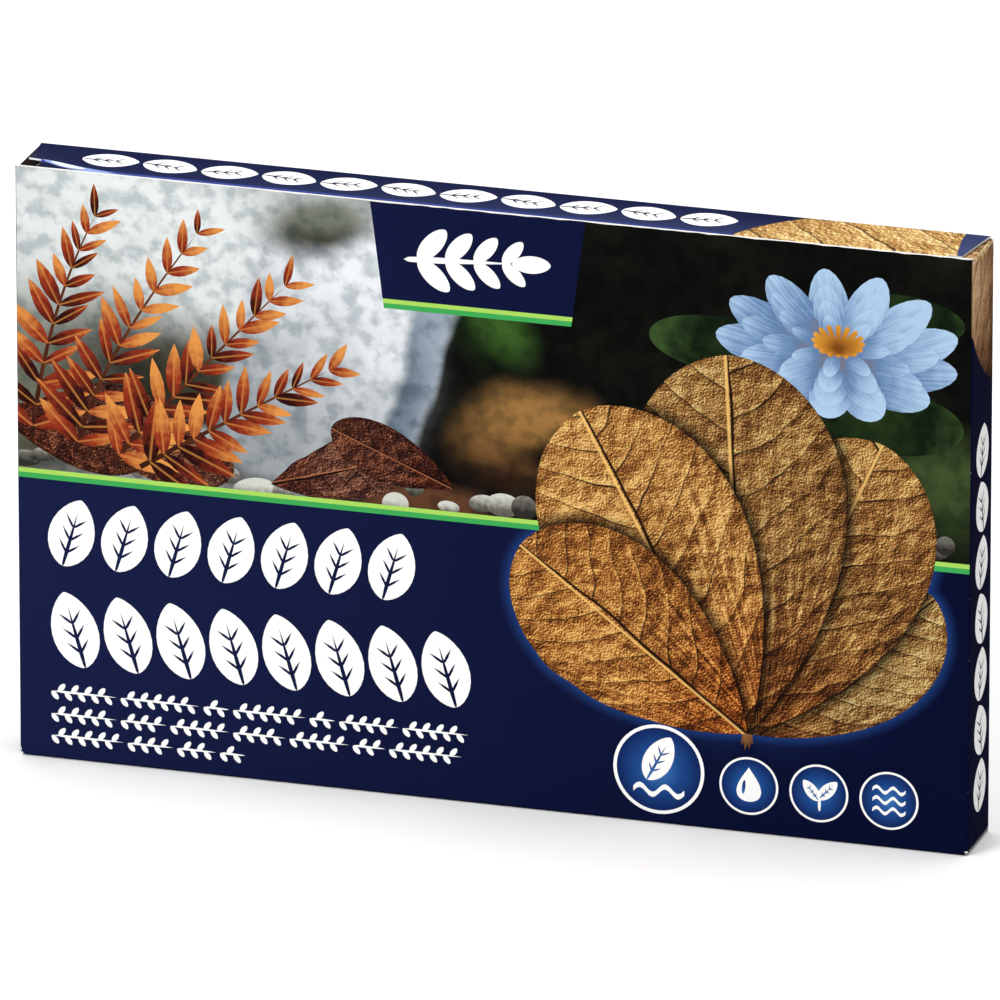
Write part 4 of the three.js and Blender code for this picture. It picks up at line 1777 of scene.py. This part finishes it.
@dataclass
class Sleeve(Piece):
    """The four walls and the glue flap, one folded sheet."""

    sizes: CartonSizes
    glue_inset: float = 4.0
    glue_taper: float = 4.0
    arc_steps: int = 8
    holding: Point = (0.3, 1.2)

    def build(self) -> Object:
        """Builds the sleeve and places it on its body."""
        sizes = self.sizes
        self.fold = SleeveFold(sizes)
        runs = self.fold.runs
        worn = tuple((runs[i].start + runs[i].end) / 2 for i in (1, 3, 5)) + (runs[0].start,)
        sheet = BoardSheet("sleeve_board", self.outline(), self.artwork(), self.fold, sizes.board,
                           self.fold_lines(), grid=(17.0, 17.0), worn_lines=worn)
        made = sheet.build()
        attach(made, "carton")
        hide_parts("sleeve")
        return made

    def outline(self) -> Outline:
        """Lays out the walls, each of which stops where its crease or free edge lies.

        Returns:
            The flat outline.
        """
        sizes = self.sizes
        runs = self.fold.runs
        high = sizes.height
        levels = [
            (runs[0].start, runs[0].end, sizes.side_end, high - sizes.side_end),
            (runs[1].start, runs[3].end, sizes.back_end, high),
            (runs[4].start, runs[4].end, sizes.side_end, high - sizes.side_end),
            (runs[5].start, runs[7].end, 0.0, high - sizes.back_end),
        ]
        lower = [(a, low) for left, right, low, _ in levels for a in (left, right)]
        upper = [(a, top) for left, right, _, top in levels for a in (left, right)]
        root = runs[8].start
        free = runs[8].end
        inset = self.glue_inset
        flap = [(root, inset), (free, inset + self.glue_taper),
                (free, high - inset - self.glue_taper), (root, high - inset)]
        return lower + flap + upper[::-1]

    def fold_lines(self) -> list[Outline]:
        """Lays upright lines at the steps of each round fold and just beside it.

        Returns:
            The lines.
        """
        places = []
        for run in self.fold.runs:
            if run.radius:
                places.extend(run.start + run.length * i / self.arc_steps for i in range(self.arc_steps + 1))
                for gap in self.holding:
                    places.extend((run.start - gap, run.end + gap))
        return [[(a, -1.0), (a, self.sizes.height + 1.0)] for a in places]

    def artwork(self) -> Artwork:
        """Paints the four walls.

        Returns:
            The print.
        """
        sizes = self.sizes
        art = Artwork(NAVY)
        left, right, back = (self.fold.runs[i] for i in (0, 4, 6))
        middle = (right.start + right.end) / 2
        # Right wall in greyer navy: painted sheen.
        art.paint(box_outline((right.start - 0.15, 0), (right.end + 0.6, sizes.height)), SIDE_SHEEN_NAVY)
        art.blade(print_leaf((middle + 2, sizes.height + 74), -78, 118), SIDE_LEAF, 0.35)
        art.paint(box_outline((back.start - 0.3, 0), (back.start + 60, sizes.height)), NAVY)
        FrontPrint(sizes, art).paint()
        art.paint(box_outline((left.start - 1, 0), (left.end + 0.6, sizes.height)), NAVY)
        LeafFrieze((middle + 0.6, 16), 90, 15.4, 7, 14.4, 11.6, 90, 12).draw(art)
        LeafFrieze(((left.start + left.end) / 2, 22), 90, 15.4, 9, 14.4, 11.6, 90, 12).draw(art)
        # Painted highlight: pale wavy line along the top of the right fold.
        art.paint(self.fold_highlight(), FOLD_HIGHLIGHT)
        self.back_print(art)
        return art

    def fold_highlight(self) -> Outline:
        """Lays the pale line of painted highlight along the right fold, on the leaf print.

        Returns:
            Its outline.
        """
        rng = random.Random(21)
        fold = self.sizes.width / 2 - 0.15
        top = self.sizes.height
        side = [(fold + 0.15 + rng.uniform(0, 0.15), top - 20 + i * 1.7) for i in range(13)]
        return [(fold - rng.uniform(0, 0.12), b) for _, b in side][::-1] + side

    def back_print(self, art: Artwork) -> None:
        """Paints the plain design of the back wall.

        Args:
            art: The print to paint on.
        """
        back = self.fold.runs[6]
        middle = (back.start + back.end) / 2
        stripe = FrontPrint.light_stripe
        low = self.sizes.height - FrontPrint.picture_depth
        ends = (back.start - 0.6, back.end + 0.6)
        art.paint(box_outline((ends[0], low - stripe), (ends[1], low)), PALE_GREEN)
        lowest = low - stripe - FrontPrint.green_stripe
        art.paint(box_outline((ends[0], lowest), (ends[1], low - stripe)), GREEN)
        LeafFan((middle - 66, 92), 0.56).draw(art)
        LeafFrieze((middle - 6, 128), 0, 16.5, 7, 21, 12.5, 90, 16).draw(art)
        for row in range(3):
            TwigRow((middle - 10, 108 - 6.4 * row), 112 - 22 * (row == 2), seed=40 + row).draw(art)
        for column in (-112, 4):
            for row in range(7):
                start = (middle + column, 66 - 7 * row)
                TwigRow(start, 96 - 28 * (row == 6), seed=60 + row + column).draw(art)


@dataclass
class Closure(Piece):
    """A tuck-in closure: panel, rounded crease and tuck flap, one sheet."""

    sizes: CartonSizes
    end: End
    inset_hinge: float = 0.8
    inset_front: float = 3.5
    tuck_length: float = 9.5
    tuck_corner: float = 6.0
    slit_length: float = 3.5
    ear_drop: float = 3.2
    corner_lift: float = 1.9
    arc_steps: int = 8
    holding: Point = (0.25, 1.0)

    def build(self) -> Object:
        """Builds the closure and places it on its body."""
        sizes = self.sizes
        lift = self.corner_lift if self.end is End.TOP else 0.0
        self.shape = ClosureFold(sizes, lift)
        fold = self.shape if self.end is End.TOP else TurnedFold(self.shape, sizes.height)
        name = f"{self.end.value}_closure"
        crease = self.shape.panel + self.shape.crease / 2
        sheet = BoardSheet(f"{name}_board", self.outline(), self.artwork(), fold, sizes.board,
                           self.fold_lines(), grid=(9.0, 3.0), worn_levels=(crease,), wear_reach=0.8,
                           wear_strength=0.24)
        made = sheet.build()
        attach(made, f"{self.end.value}_lid")
        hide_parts(name)
        return made

    def half_at(self, away: float) -> float:
        """Half the closure's width so far from its root."""
        share = min((self.sizes.board / 2 + self.sizes.crease_gap + away) / self.sizes.depth, 1.0)
        return self.sizes.width / 2 - self.inset_hinge - (self.inset_front - self.inset_hinge) * share

    def outline(self) -> Outline:
        """Lays out the closure, cut free at each end of the tuck crease so that the panel locks there.

        Returns:
            The flat outline.
        """
        panel = self.shape.panel
        crease_end = panel + self.shape.crease
        free = crease_end + self.tuck_length
        side = self.half_at(self.sizes.depth)
        inner = side - self.slit_length
        corner = self.tuck_corner
        right = [(self.half_at(0.0), 0.0), (side, panel), (inner, panel), (inner + 0.2, crease_end),
                 (side, crease_end + self.ear_drop)]
        for i in range(self.arc_steps + 1):
            turn = pi / 2 * i / self.arc_steps
            right.append((side - corner * (1 - cos(turn)), free - corner * (1 - sin(turn))))
        return right + [(-a, b) for a, b in reversed(right)]

    def fold_lines(self) -> list[Outline]:
        """Lays lines along the closure at the steps of its round crease and just beside it.

        Returns:
            The lines.
        """
        panel = self.shape.panel
        crease = self.shape.crease
        levels = [panel + crease * i / self.arc_steps for i in range(self.arc_steps + 1)]
        for gap in self.holding:
            levels += [panel - gap, panel + crease + gap]
        reach = self.sizes.width / 2
        return [[(-reach, b), (reach, b)] for b in levels]

    def artwork(self) -> Artwork:
        """Paints the closure, with a painted sheen over the tuck crease and a painted glare on it beside the
        lifted corner.

        Returns:
            The print.
        """
        art = Artwork(LID_SHEEN_NAVY)
        middle = self.shape.panel * 0.49
        reach = self.sizes.width / 2
        bend = self.shape.panel + self.shape.crease * 0.6
        if self.end is End.TOP:
            LeafFrieze((-107.0, middle), 0, 16.3, 11, 15.2, 10.4, 0, 7).draw(art)
            # Painted sheen: paler blue band over the tuck crease.
            art.paint(box_outline((-reach, self.shape.panel - 0.5), (reach, bend)), CREASE_SHEEN_NAVY)
            art.blade(print_leaf((231.0, 34.0), 180, 170), LID_LEAF, 0.3)
            art.paint([(122.6, -1), (122.9, 5), (124.0, 12), (125.6, 20), (132, 20), (132, -1)], LID_SHEEN_NAVY)
            # Painted glare on the tuck crease beside the lifted corner: a pale blue streak round a white
            # core.
            glare_at = self.shape.panel + self.shape.crease * 0.4
            art.blade(Blade((-123.0, glare_at - 0.5), 1.2, 21.0, 1.6, 0.3, 0.6, 12), GLARE_NAVY)
            art.blade(Blade((-120.6, glare_at - 0.4), 1.2, 9.6, 1.1, 0.4, 0.6, 10), WHITE)
        else:
            LeafFrieze((-96.0, middle), 0, 24.0, 9, 15.2, 11.6, 0, 8).draw(art)
            # Painted sheen: paler blue band over the tuck crease.
            art.paint(box_outline((-reach, self.shape.panel - 0.25), (reach, bend)), CREASE_SHEEN_NAVY)
        return art


@dataclass
class DustFlap(Piece):
    """A dust flap, hinged on a side wall under its closure."""

    sizes: CartonSizes
    end: End
    side: Side
    length: float = 21.0
    hinge_inset: float = 0.9
    follows: float = 0.42
    front_taper: float = 2.2
    corner: float = 2.0
    corner_steps: int = 5

    def build(self) -> Object:
        """Builds the flap and places it on its body."""
        sizes = self.sizes
        fold: Fold = FlatFold(sizes.height - sizes.dust_top)
        if self.end is End.BOTTOM:
            fold = TurnedFold(fold, sizes.height)
        name = f"{self.end.value}_{self.side.name.lower()}_dust"
        art = Artwork(NAVY)
        # Top left dust flap in dark brown: painted shade for the gap under the closure's slit.
        if self.end is End.TOP and self.side is Side.LEFT:
            art = Artwork(PAINTED_SHADE_BROWN)
        elif self.end is End.TOP:
            art.blade(print_leaf((148, -2), 178, 66), PALE_LEAF, 0.62)
        sheet = BoardSheet(f"{name}_board", self.outline(), art, fold, sizes.board, [], grid=(5.0, 5.0))
        made = sheet.build()
        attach(made, name)
        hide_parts(f"{name}_flap")
        return made

    def edges(self, out: float) -> tuple[float, float]:
        """Front and back edge of the flap.

        Args:
            out: Distance from its hinge.

        Returns:
            Their Y.
        """
        sizes = self.sizes
        inner = sizes.hinge_y - sizes.tuck_middle - sizes.board / 2 + sizes.board + sizes.clearance
        front = inner + self.front_taper * out / self.length
        return front, sizes.hinge_y - self.hinge_inset - self.follows * out

    def outline(self) -> Outline:
        """Lays out the flap as seen from above, with its free corners rounded.

        Returns:
            The outline.
        """
        hinge = self.sizes.width / 2 - self.sizes.board / 2
        gap = self.sizes.crease_gap
        inner = self.length - self.corner
        points = [(gap, self.edges(gap)[0]), (gap, self.edges(gap)[1])]
        shares = [i / self.corner_steps for i in range(self.corner_steps + 1)]
        for edge, sign, around in ((1, -1, shares), (0, 1, [1 - share for share in shares])):
            for turn in (pi / 2 * share for share in around):
                out = inner + self.corner * sin(turn)
                points.append((out, self.edges(out)[edge] + sign * self.corner * (1 - cos(turn))))
        return [(self.side.value * (hinge - out), y) for out, y in points]


@dataclass
class Crease(Piece):
    """Strip of creased board between a wall and a flap."""

    sizes: CartonSizes
    end: End
    side: Side | None = None
    steps: int = 6
    hold: float = 0.18
    inset: float = 0.9

    def build(self) -> Object:
        """Builds the strip in the carton's frame, its place baked into its mesh."""
        sizes = self.sizes
        gap = sizes.crease_gap
        if self.side is None:
            along, outward = (1.0, 0.0, 0.0), (0.0, 1.0, 0.0)
            hinge = Vector((0.0, sizes.hinge_y, sizes.hinge_z))
            half = sizes.width / 2 - self.inset
            span = (-half, half)
            body = f"{self.end.value}_lid"
        else:
            sign = float(self.side.value)
            along, outward = (0.0, 1.0, 0.0), (sign, 0.0, 0.0)
            level = sizes.height - sizes.dust_top - sizes.board / 2
            hinge = Vector((sign * (sizes.width - sizes.board) / 2, 0.0, level))
            span = DustFlap(sizes, self.end, self.side).edges(gap)
            body = f"{self.end.value}_{self.side.name.lower()}_dust"
        start = hinge - Vector((0, 0, gap))
        end = hinge - Vector(outward) * gap
        fold: Fold = CreaseFold(tuple(start + end - hinge), along, outward, gap, sizes.board)
        if self.end is End.BOTTOM:
            fold = TurnedFold(fold, sizes.height)
            start, end = (Vector((p.x, -p.y, sizes.height - p.z)) for p in (start, end))
        arc = gap * pi / 2
        outline = box_outline((span[0], 0.0), (span[1], arc))
        levels = [arc * i / self.steps for i in range(1, self.steps)]
        lines = [[(span[0], level), (span[1], level)] for level in levels]
        sheet = BoardSheet(f"{body}_crease", outline, self.artwork(), fold, sizes.board, lines,
                           grid=(20.0, 20.0), worn_levels=(arc / 2,), wear_reach=0.6, wear_strength=0.4)
        made = sheet.build()
        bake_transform(made)
        return made

    def artwork(self) -> Artwork:
        """Paints the strip in the colour of the wall that it belongs to.

        Returns:
            The print.
        """
        # Top left crease in dark brown: painted shade, like its dust flap.
        if self.side is Side.LEFT and self.end is End.TOP:
            return Artwork(PAINTED_SHADE_BROWN)
        art = Artwork(NAVY)
        if self.side is Side.RIGHT and self.end is End.TOP:
            art.blade(print_leaf((0, -34), 90, 62), PALE_LEAF, 0.55)
        return art


@dataclass
class LeafStack:
    """Twelve dried leaves that stand on their long edge, nested in one shared wave."""

    sizes: CartonSizes
    count: int = 12
    pitch: float = 1.1
    solid: float = 0.6
    thickness: float = 0.34
    lengths: Point = (204.0, 228.0)
    breadths: Point = (118.0, 134.0)
    tilt: float = 1.6
    shift: float = 7.0
    widest: float = 0.62
    power: float = 0.92
    stalk: float = 9.0
    stalk_half: float = 1.4
    rib_rise: float = 0.15
    rib_height: float = 0.11
    rib_half: float = 1.3
    vein_height: float = 0.05
    vein_half: float = 0.09
    ripple: float = 0.09
    edge_share: float = 0.35
    wave: float = 0.95
    wave_length: float = 128.0
    stations: int = 64
    columns: int = 26
    seed: int = 4127
    draws: int = 8
    random_step: tuple[int, int, int] = (1664525, 1013904223, 2**32)

    def build(self) -> list[Object]:
        """Builds every leaf and places it in the carton, from random numbers that never change.

        Returns:
            The leaves' objects.
        """
        state = self.seed
        factor, addend, modulus = self.random_step
        leaves = []
        for number in range(self.count):
            values = []
            for _ in range(self.draws):
                state = (state * factor + addend) % modulus
                values.append(state / modulus)
            leaves.append(self.leaf(number, values))
        return leaves

    def shared_wave(self, x: Array, z: Array) -> Array:
        """The wave that all the leaves follow.

        Args:
            x: Places along the carton.
            z: Heights.

        Returns:
            How far back it lies there.
        """
        along = 2 * pi * x / self.wave_length
        up = 2 * pi * z / self.wave_length
        broad = np.sin(along + 0.7 * up + 0.6)
        fine = np.sin(1.7 * up - 0.8 * along + 2.1)
        return self.wave * (0.6 * broad + 0.4 * fine)

    def leaf(self, number: int, values: list[float]) -> Object:
        """Builds one leaf.

        Args:
            number: Its place in the stack, from the front.
            values: Its eight random numbers.

        Returns:
            The leaf's object.
        """
        length = self.lengths[0] + (self.lengths[1] - self.lengths[0]) * values[0]
        breadth = self.breadths[0] + (self.breadths[1] - self.breadths[0]) * values[1]
        shift = self.shift * (2 * values[2] - 1)
        tilt = radians(self.tilt * (2 * values[3] - 1))
        points = -1 if number % 3 == 1 else 1
        share = (1 - np.cos(np.pi * np.arange(self.stations + 1) / self.stations)) / 2
        along = share * length
        blade = np.maximum(0, (along - self.stalk) / (length - self.stalk))
        column = np.linspace(-1, 1, self.columns + 1)
        whole = Blade((0.0, 0.0), 0.0, length, breadth, self.widest, self.power)
        least = np.where(share < 0.5, self.stalk_half, 0.5)
        half = np.zeros((len(share), len(column)))
        for side, phases in ((column < 0, values[4:6]), (column >= 0, values[6:8])):
            first, second = (2 * np.pi * phase for phase in phases)
            ragged = 1 + 0.03 * np.sin(19 * blade + first) + 0.02 * np.sin(37 * blade + second)
            nibble = 1 - 0.012 * np.abs(np.sin(83 * blade + 7 * phases[0]))
            edge = np.maximum(least, whole.half(blade) * ragged * nibble)
            half[:, side] = edge[:, None]
        across = column[None, :] * half
        ahead = points * (along - length / 2) + shift
        x = ahead[:, None] * cos(tilt) - across * sin(tilt)
        z = ahead[:, None] * sin(tilt) + across * cos(tilt)
        z = z + self.sizes.board + self.sizes.clearance - z.min()
        return self.mesh(number, x, z, along, across, length)

    def mesh(self, number: int, x: Array, z: Array, along: Array, across: Array, length: float) -> Object:
        """Makes a leaf's closed mesh from its grid.

        Args:
            number: Its place in the stack.
            x: Grid of places along the carton.
            z: Grid of heights.
            along: Distance of each row from the stalk's end.
            across: Grid of distances from the midrib.
            length: Length of the leaf.

        Returns:
            The leaf's object.
        """
        sizes = self.sizes
        frontmost = -sizes.depth / 2 + sizes.board + 2 * sizes.clearance + self.rib_rise + self.wave
        middle = frontmost + number * self.pitch + self.solid / 2 + self.shared_wave(x, z)
        ripple = self.ripple * np.sin(x / 5.2 + 1.7 * number) * np.sin(z / 4.1 + number)
        rib = np.exp(-((across / self.rib_half) ** 2)) * self.rib_height
        spine = self.vein_ridge(along[:, None] / length, across / length) * self.vein_height
        edge = np.clip((1 - np.abs(np.linspace(-1, 1, x.shape[1]))[None, :]) * 8, self.edge_share, 1)
        half = self.thickness / 2 * edge
        front = np.stack([x, middle + ripple - half - rib - spine, z], axis=2).reshape(-1, 3)
        back = np.stack([x, middle + ripple + half, z], axis=2).reshape(-1, 3)
        rows, columns = x.shape
        index = np.arange(rows * columns).reshape(rows, columns)
        corners = [index[:-1, :-1], index[1:, :-1], index[1:, 1:], index[:-1, 1:]]
        near = np.stack(corners, axis=2).reshape(-1, 4)
        loop = np.concatenate([index[0, :], index[1:, -1], index[-1, -2::-1], index[-2:0:-1, 0]])
        after = np.roll(loop, -1)
        count = rows * columns
        rim = np.column_stack([loop, after, after + count, loop + count])
        faces = np.vstack([near, near[:, ::-1] + count, rim])
        if x[0, 0] > x[-1, 0]:
            faces = faces[:, ::-1]
        name = f"dried_leaf_{number + 1:02d}"
        mesh = bpy.data.meshes.new(name)
        mesh.from_pydata((np.vstack([front, back]) * MM).tolist(), [], faces.tolist())
        local = np.stack([np.broadcast_to(along[:, None] / length, x.shape), across / length,
                          np.full(x.shape, number / self.count)], axis=2).reshape(-1, 3)
        flat = np.stack([x + 40 * number, z, np.zeros(x.shape)], axis=2).reshape(-1, 3)
        for title, places in (("art", local), ("sheet", flat)):
            store(mesh, title, np.vstack([places, places]))
        mesh.materials.append(DriedSkin("dried_leaf_skin").material())
        mesh.shade_smooth()
        made = add_object(name, mesh)
        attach(made, "carton")
        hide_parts(f"leaf_{number + 1:02d}")
        return made

    def vein_ridge(self, along: Array, across: Array) -> Array:
        """Height of the side veins over the blade.

        Args:
            along: Places along the leaf, in shares of its length.
            across: Places across it.

        Returns:
            0 to 1.
        """
        pattern = VeinPattern()
        away = np.abs(across)
        start = along - away * pattern.lean - away**2 * pattern.curl
        turns = start * pattern.pairs + (across > 0) * pattern.stagger
        gap = np.abs(turns % 1 - 0.5)
        return np.exp(-((gap / self.vein_half) ** 2))


@dataclass
class Studio:
    """Camera, light and floor."""

    target: Place = (-0.0005, 0.0, 0.0813)
    camera_place: Place = (1.3847, -4.5028, 1.7564)
    lens: float = 689.4
    floor_half: float = 6.0
    floor_drop: float = 0.0002
    sky: tuple[Point, ...] = (
        (0.0, 0.0), (0.495, 0.0), (0.5, 0.8), (0.525, 0.8), (0.54, 0.03), (0.74, 0.03), (0.86, 0.9),
    )

    def camera(self) -> None:
        """Sets the camera at the photograph's angle."""
        data = bpy.data.cameras.new("camera")
        data.lens = self.lens
        data.sensor_width = 36.0
        data.clip_end = 50.0
        bpy.context.scene.camera = self.aimed("camera", data, self.camera_place, self.target)

    def aimed(self, name: str, data: ID, place: Place, target: Place) -> Object:
        """Adds a camera or a lamp.

        Args:
            name: Its name.
            data: Its settings.
            place: Where it stands, in metres.
            target: Where it points.

        Returns:
            The object.
        """
        made = add_object(name, data)
        made.location = place
        made.rotation_euler = (Vector(target) - Vector(place)).to_track_quat("-Z", "Y").to_euler()
        return made

    def light(self, name: str, place: Place, size: Point, power: float, target: Place) -> None:
        """Adds a soft light.

        Args:
            name: Its name.
            place: Where it stands, in metres.
            size: Its width and height, in metres.
            power: Its power, in watts.
            target: Where it points.
        """
        data = bpy.data.lights.new(name, "AREA")
        data.shape = "RECTANGLE"
        data.size, data.size_y = size
        data.energy = power
        self.aimed(name, data, place, target)

    def build(self) -> None:
        """Sets the world, the lights and the floor."""
        bpy.context.scene.view_settings.view_transform = "Standard"
        self.world()
        self.light("key", (-1.5, -2.3, 1.9), (1.5, 1.1), 62.0, (0, 0, 0.08))
        self.light("above", (0.1, 0.3, 2.2), (2.0, 1.4), 30.0, (0, 0, 0.1))
        self.floor()

    def world(self) -> None:
        """Sets a pale horizon, a dim band over it and a bright ceiling."""
        world = bpy.data.worlds.new("studio")
        bpy.context.scene.world = world
        graph = Graph(world)
        height = graph.split(graph.add("TexCoord", {}).outputs["Generated"])[2]
        stops = [(place, (tone, tone, tone, 1.0)) for place, tone in self.sky]
        graph.shade({"Color": graph.ramp(graph.line(height, 0.5, 0.5), stops), "Strength": 1.0}, "Background")

    def floor(self) -> None:
        """Adds the plain pale floor."""
        half = self.floor_half
        mesh = bpy.data.meshes.new("floor")
        corners = [(x, y, 0) for x, y in box_outline((-half, -half), (half, half))]
        mesh.from_pydata(corners, [], [(0, 1, 2, 3)])
        mesh.materials.append(PalePaint("pale_floor").material())
        floor = add_object("floor", mesh)
        floor.location.z = -self.floor_drop
        floor.visible_glossy = False


def main() -> None:
    """Builds the carton, its leaves and the studio, and reports each piece."""
    logging.basicConfig(level=logging.INFO, format="%(name)s: %(message)s")
    studio = Studio()
    studio.camera()
    sizes = CartonSizes.from_frame()
    pieces: list[Piece] = [Sleeve(sizes)]
    for end in End:
        pieces += [Closure(sizes, end), Crease(sizes, end)]
        for side in Side:
            pieces += [DustFlap(sizes, end, side), Crease(sizes, end, side)]
    for made in [piece.build() for piece in pieces] + LeafStack(sizes).build():
        LOG.info("%s: %d faces", made.name, len(made.data.polygons))
    studio.build()


if __name__ == "__main__":
    main()
